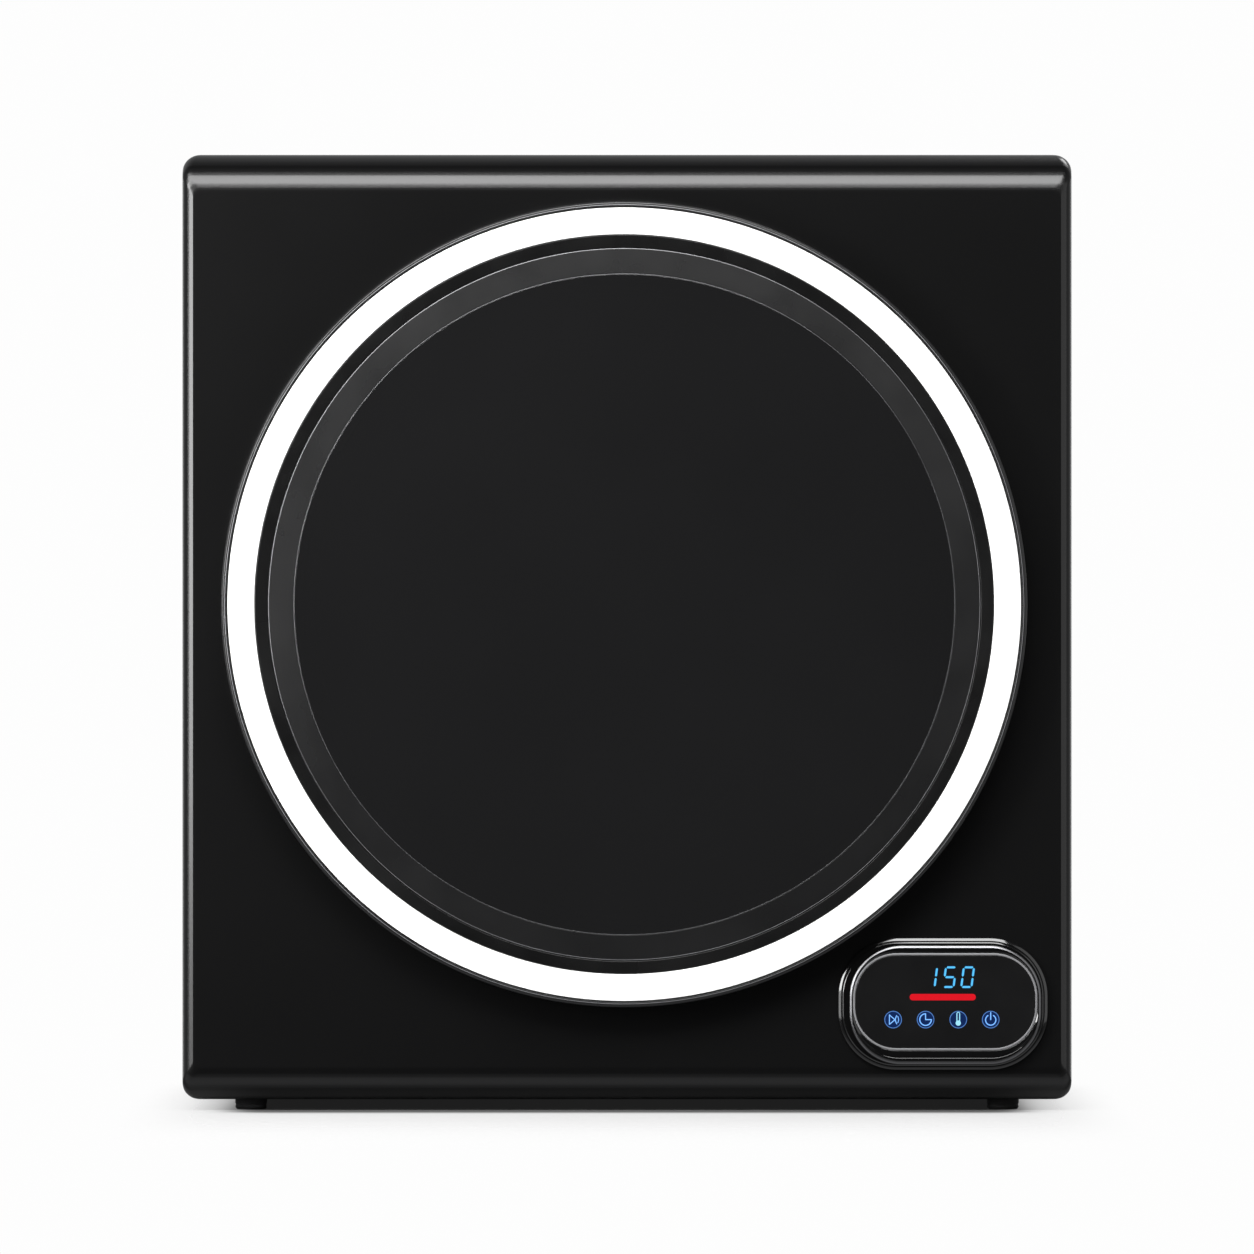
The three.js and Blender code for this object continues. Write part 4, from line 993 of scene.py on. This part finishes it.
def digit(bm, x, z, segments, y, grow=0.0):
    """Seven-segment digit centred on x, z, leaning to the right."""
    w, h = 2.8, 5.4
    half, lean, gap = 0.55, 0.13, 0.32
    spots = {"a": (-w, h, w, h), "g": (-w, 0, w, 0), "d": (-w, -h, w, -h), "f": (-w, 0, -w, h),
             "b": (w, 0, w, h), "e": (-w, -h, -w, 0), "c": (w, -h, w, 0)}
    for name in segments:
        x0, z0, x1, z1 = spots[name]
        length = math.hypot(x1 - x0, z1 - z0)
        ux, uz = (x1 - x0) / length * gap, (z1 - z0) / length * gap
        outline = bar(x0 + ux, z0 + uz, x1 - ux, z1 - uz, half + grow)
        add_tile(bm, [(x + a + lean * b, z + b) for a, b in outline], y)


def legend(name, look, slot, shapes, y):
    bm = bmesh.new()
    for outline in shapes:
        add_tile(bm, outline, y)
    mesh_piece(name, bm, "cabinet", slot, look=look, merge=False)


def build_legends():
    y = PANE_FACE - 0.005
    for name, look, rise, grow in (("display_digits", "display_cyan", 0.02, 0.0),
                                   ("display_digit_halo", "display_halo", 0.0, 0.45)):
        bm = bmesh.new()
        for x, segments in DIGITS:
            digit(bm, x, DIGIT_Z, segments, y - rise, grow)
        mesh_piece(name, bm, "cabinet", "display_cyan", look=look, merge=False)

    legend("display_bar", "display_red", "display_red", [rounded_rect(*RED_BAR, 1.7, 8)], y)

    z = KEY_Z
    x0, x1, x2, x3 = KEYS
    legend("key_glow", "display_glow", "display_blue", [circle(x, z, 4.9, 40) for x in KEYS], y + 0.03)
    rings = []
    for x in KEYS:
        rings += stroke(circle(x, z, 4.6, 40), 0.36, closed=True)
    legend("key_rings", "display_ring", "display_blue", rings, y)
    lines = stroke([(x0 - 2.05, z + 2.6), (x0 - 2.05, z - 2.6), (x0 + 1.0, z - 0.1)], 0.5, closed=True)
    lines += stroke([(x0 + 1.9, z + 2.2), (x0 + 1.35, z + 0.8), (x0 + 1.2, z - 0.1), (x0 + 1.4, z - 1.0),
                     (x0 + 1.95, z - 2.4)], 0.5)
    lines += stroke(arc_points(x0 - 0.2, z, 3.2, -32, 32, 10), 0.45)
    lines += stroke(arc_points(x1, z, 3.2, 90, 360, 28), 0.6)
    lines += stroke([(x1, z + 3.2), (x1, z), (x1 + 3.2, z)], 0.55)
    lines += stroke(arc_points(x3, z - 0.2, 2.85, 122, 418, 32), 0.6)
    lines += stroke([(x3, z + 3.9), (x3, z)], 0.6)
    legend("key_lines", "display_blue", "display_blue", lines, y - 0.02)
    bulb = [circle(x2, z - 1.9, 1.45, 24)]
    bulb += stroke([(x2 - 0.75, z - 1.2), (x2 - 0.75, z + 3.3)], 0.55)
    bulb += stroke([(x2 + 0.75, z + 3.3), (x2 + 0.75, z - 1.2)], 0.55)
    bulb += stroke(arc_points(x2, z + 3.3, 0.75, 0, 180, 10), 0.45)
    legend("key_thermometer", "display_white", "display_cyan", bulb, y - 0.02)


# ------------------------------------------------------------------ carried-over CAD nodes

def finish_cad_nodes():
    """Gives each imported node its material, and rounds the edges of those that are shown."""
    slots = {row["node"]: row["material_slot"] for row in frame["record"]["subparts"]}
    for name, made in frame["nodes"].items():
        made.data.materials.clear()
        made.data.materials.append(LOOKS[slots[name]])
        if made.hide_render:
            continue
        bevel = made.modifiers.new("edges", "BEVEL")
        bevel.width = 0.3 * MM
        bevel.segments = 2
        bevel.limit_method = "ANGLE"
        bevel.angle_limit = math.radians(45)


def screen_look():
    """Woven filter cloth: two crossing waves of fine thread."""
    made, nodes, links, bsdf = shader("screen")
    vector = coordinates(nodes, links)
    waves = []
    for direction in ("X", "Z"):
        wave = nodes.new("ShaderNodeTexWave")
        wave.bands_direction = direction
        wave.inputs["Scale"].default_value = 260
        links.new(vector, wave.inputs["Vector"])
        waves.append(wave.outputs["Fac"])
    ramp = nodes.new("ShaderNodeValToRGB")
    ramp.color_ramp.elements[0].color = (0.09, 0.09, 0.095, 1)
    ramp.color_ramp.elements[1].color = (0.01, 0.01, 0.01, 1)
    links.new(product(nodes, links, *waves), ramp.inputs["Fac"])
    links.new(ramp.outputs["Color"], bsdf.inputs["Base Color"])
    bsdf.inputs["Roughness"].default_value = 0.8
    return made


LOOKS["screen"] = screen_look()


def even_shading():
    """Lets the flat faces keep their own shading beside narrow rounded edges."""
    for made in list(bpy.context.scene.collection.objects):
        if made.type == "MESH" and made.name not in frame["nodes"] and made.name != "floor":
            modifier = made.modifiers.new("shading", "WEIGHTED_NORMAL")
            modifier.keep_sharp = True
            modifier.weight = 80


build_stage()
build_front_panel()
build_folded("top_cover_sheet", "top_cover", TOP, -1)
build_folded("base_pan_sheet", "base_pan", BOTTOM, 1)
build_side("left_side_sheet", "left_side_panel", -1)
build_side("right_side_sheet", "right_side_panel", 1)
build_rear()
build_feet()
build_exhaust()
build_door_front()
build_door_back()
build_drum()
build_pod()
finish_cad_nodes()
even_shading()
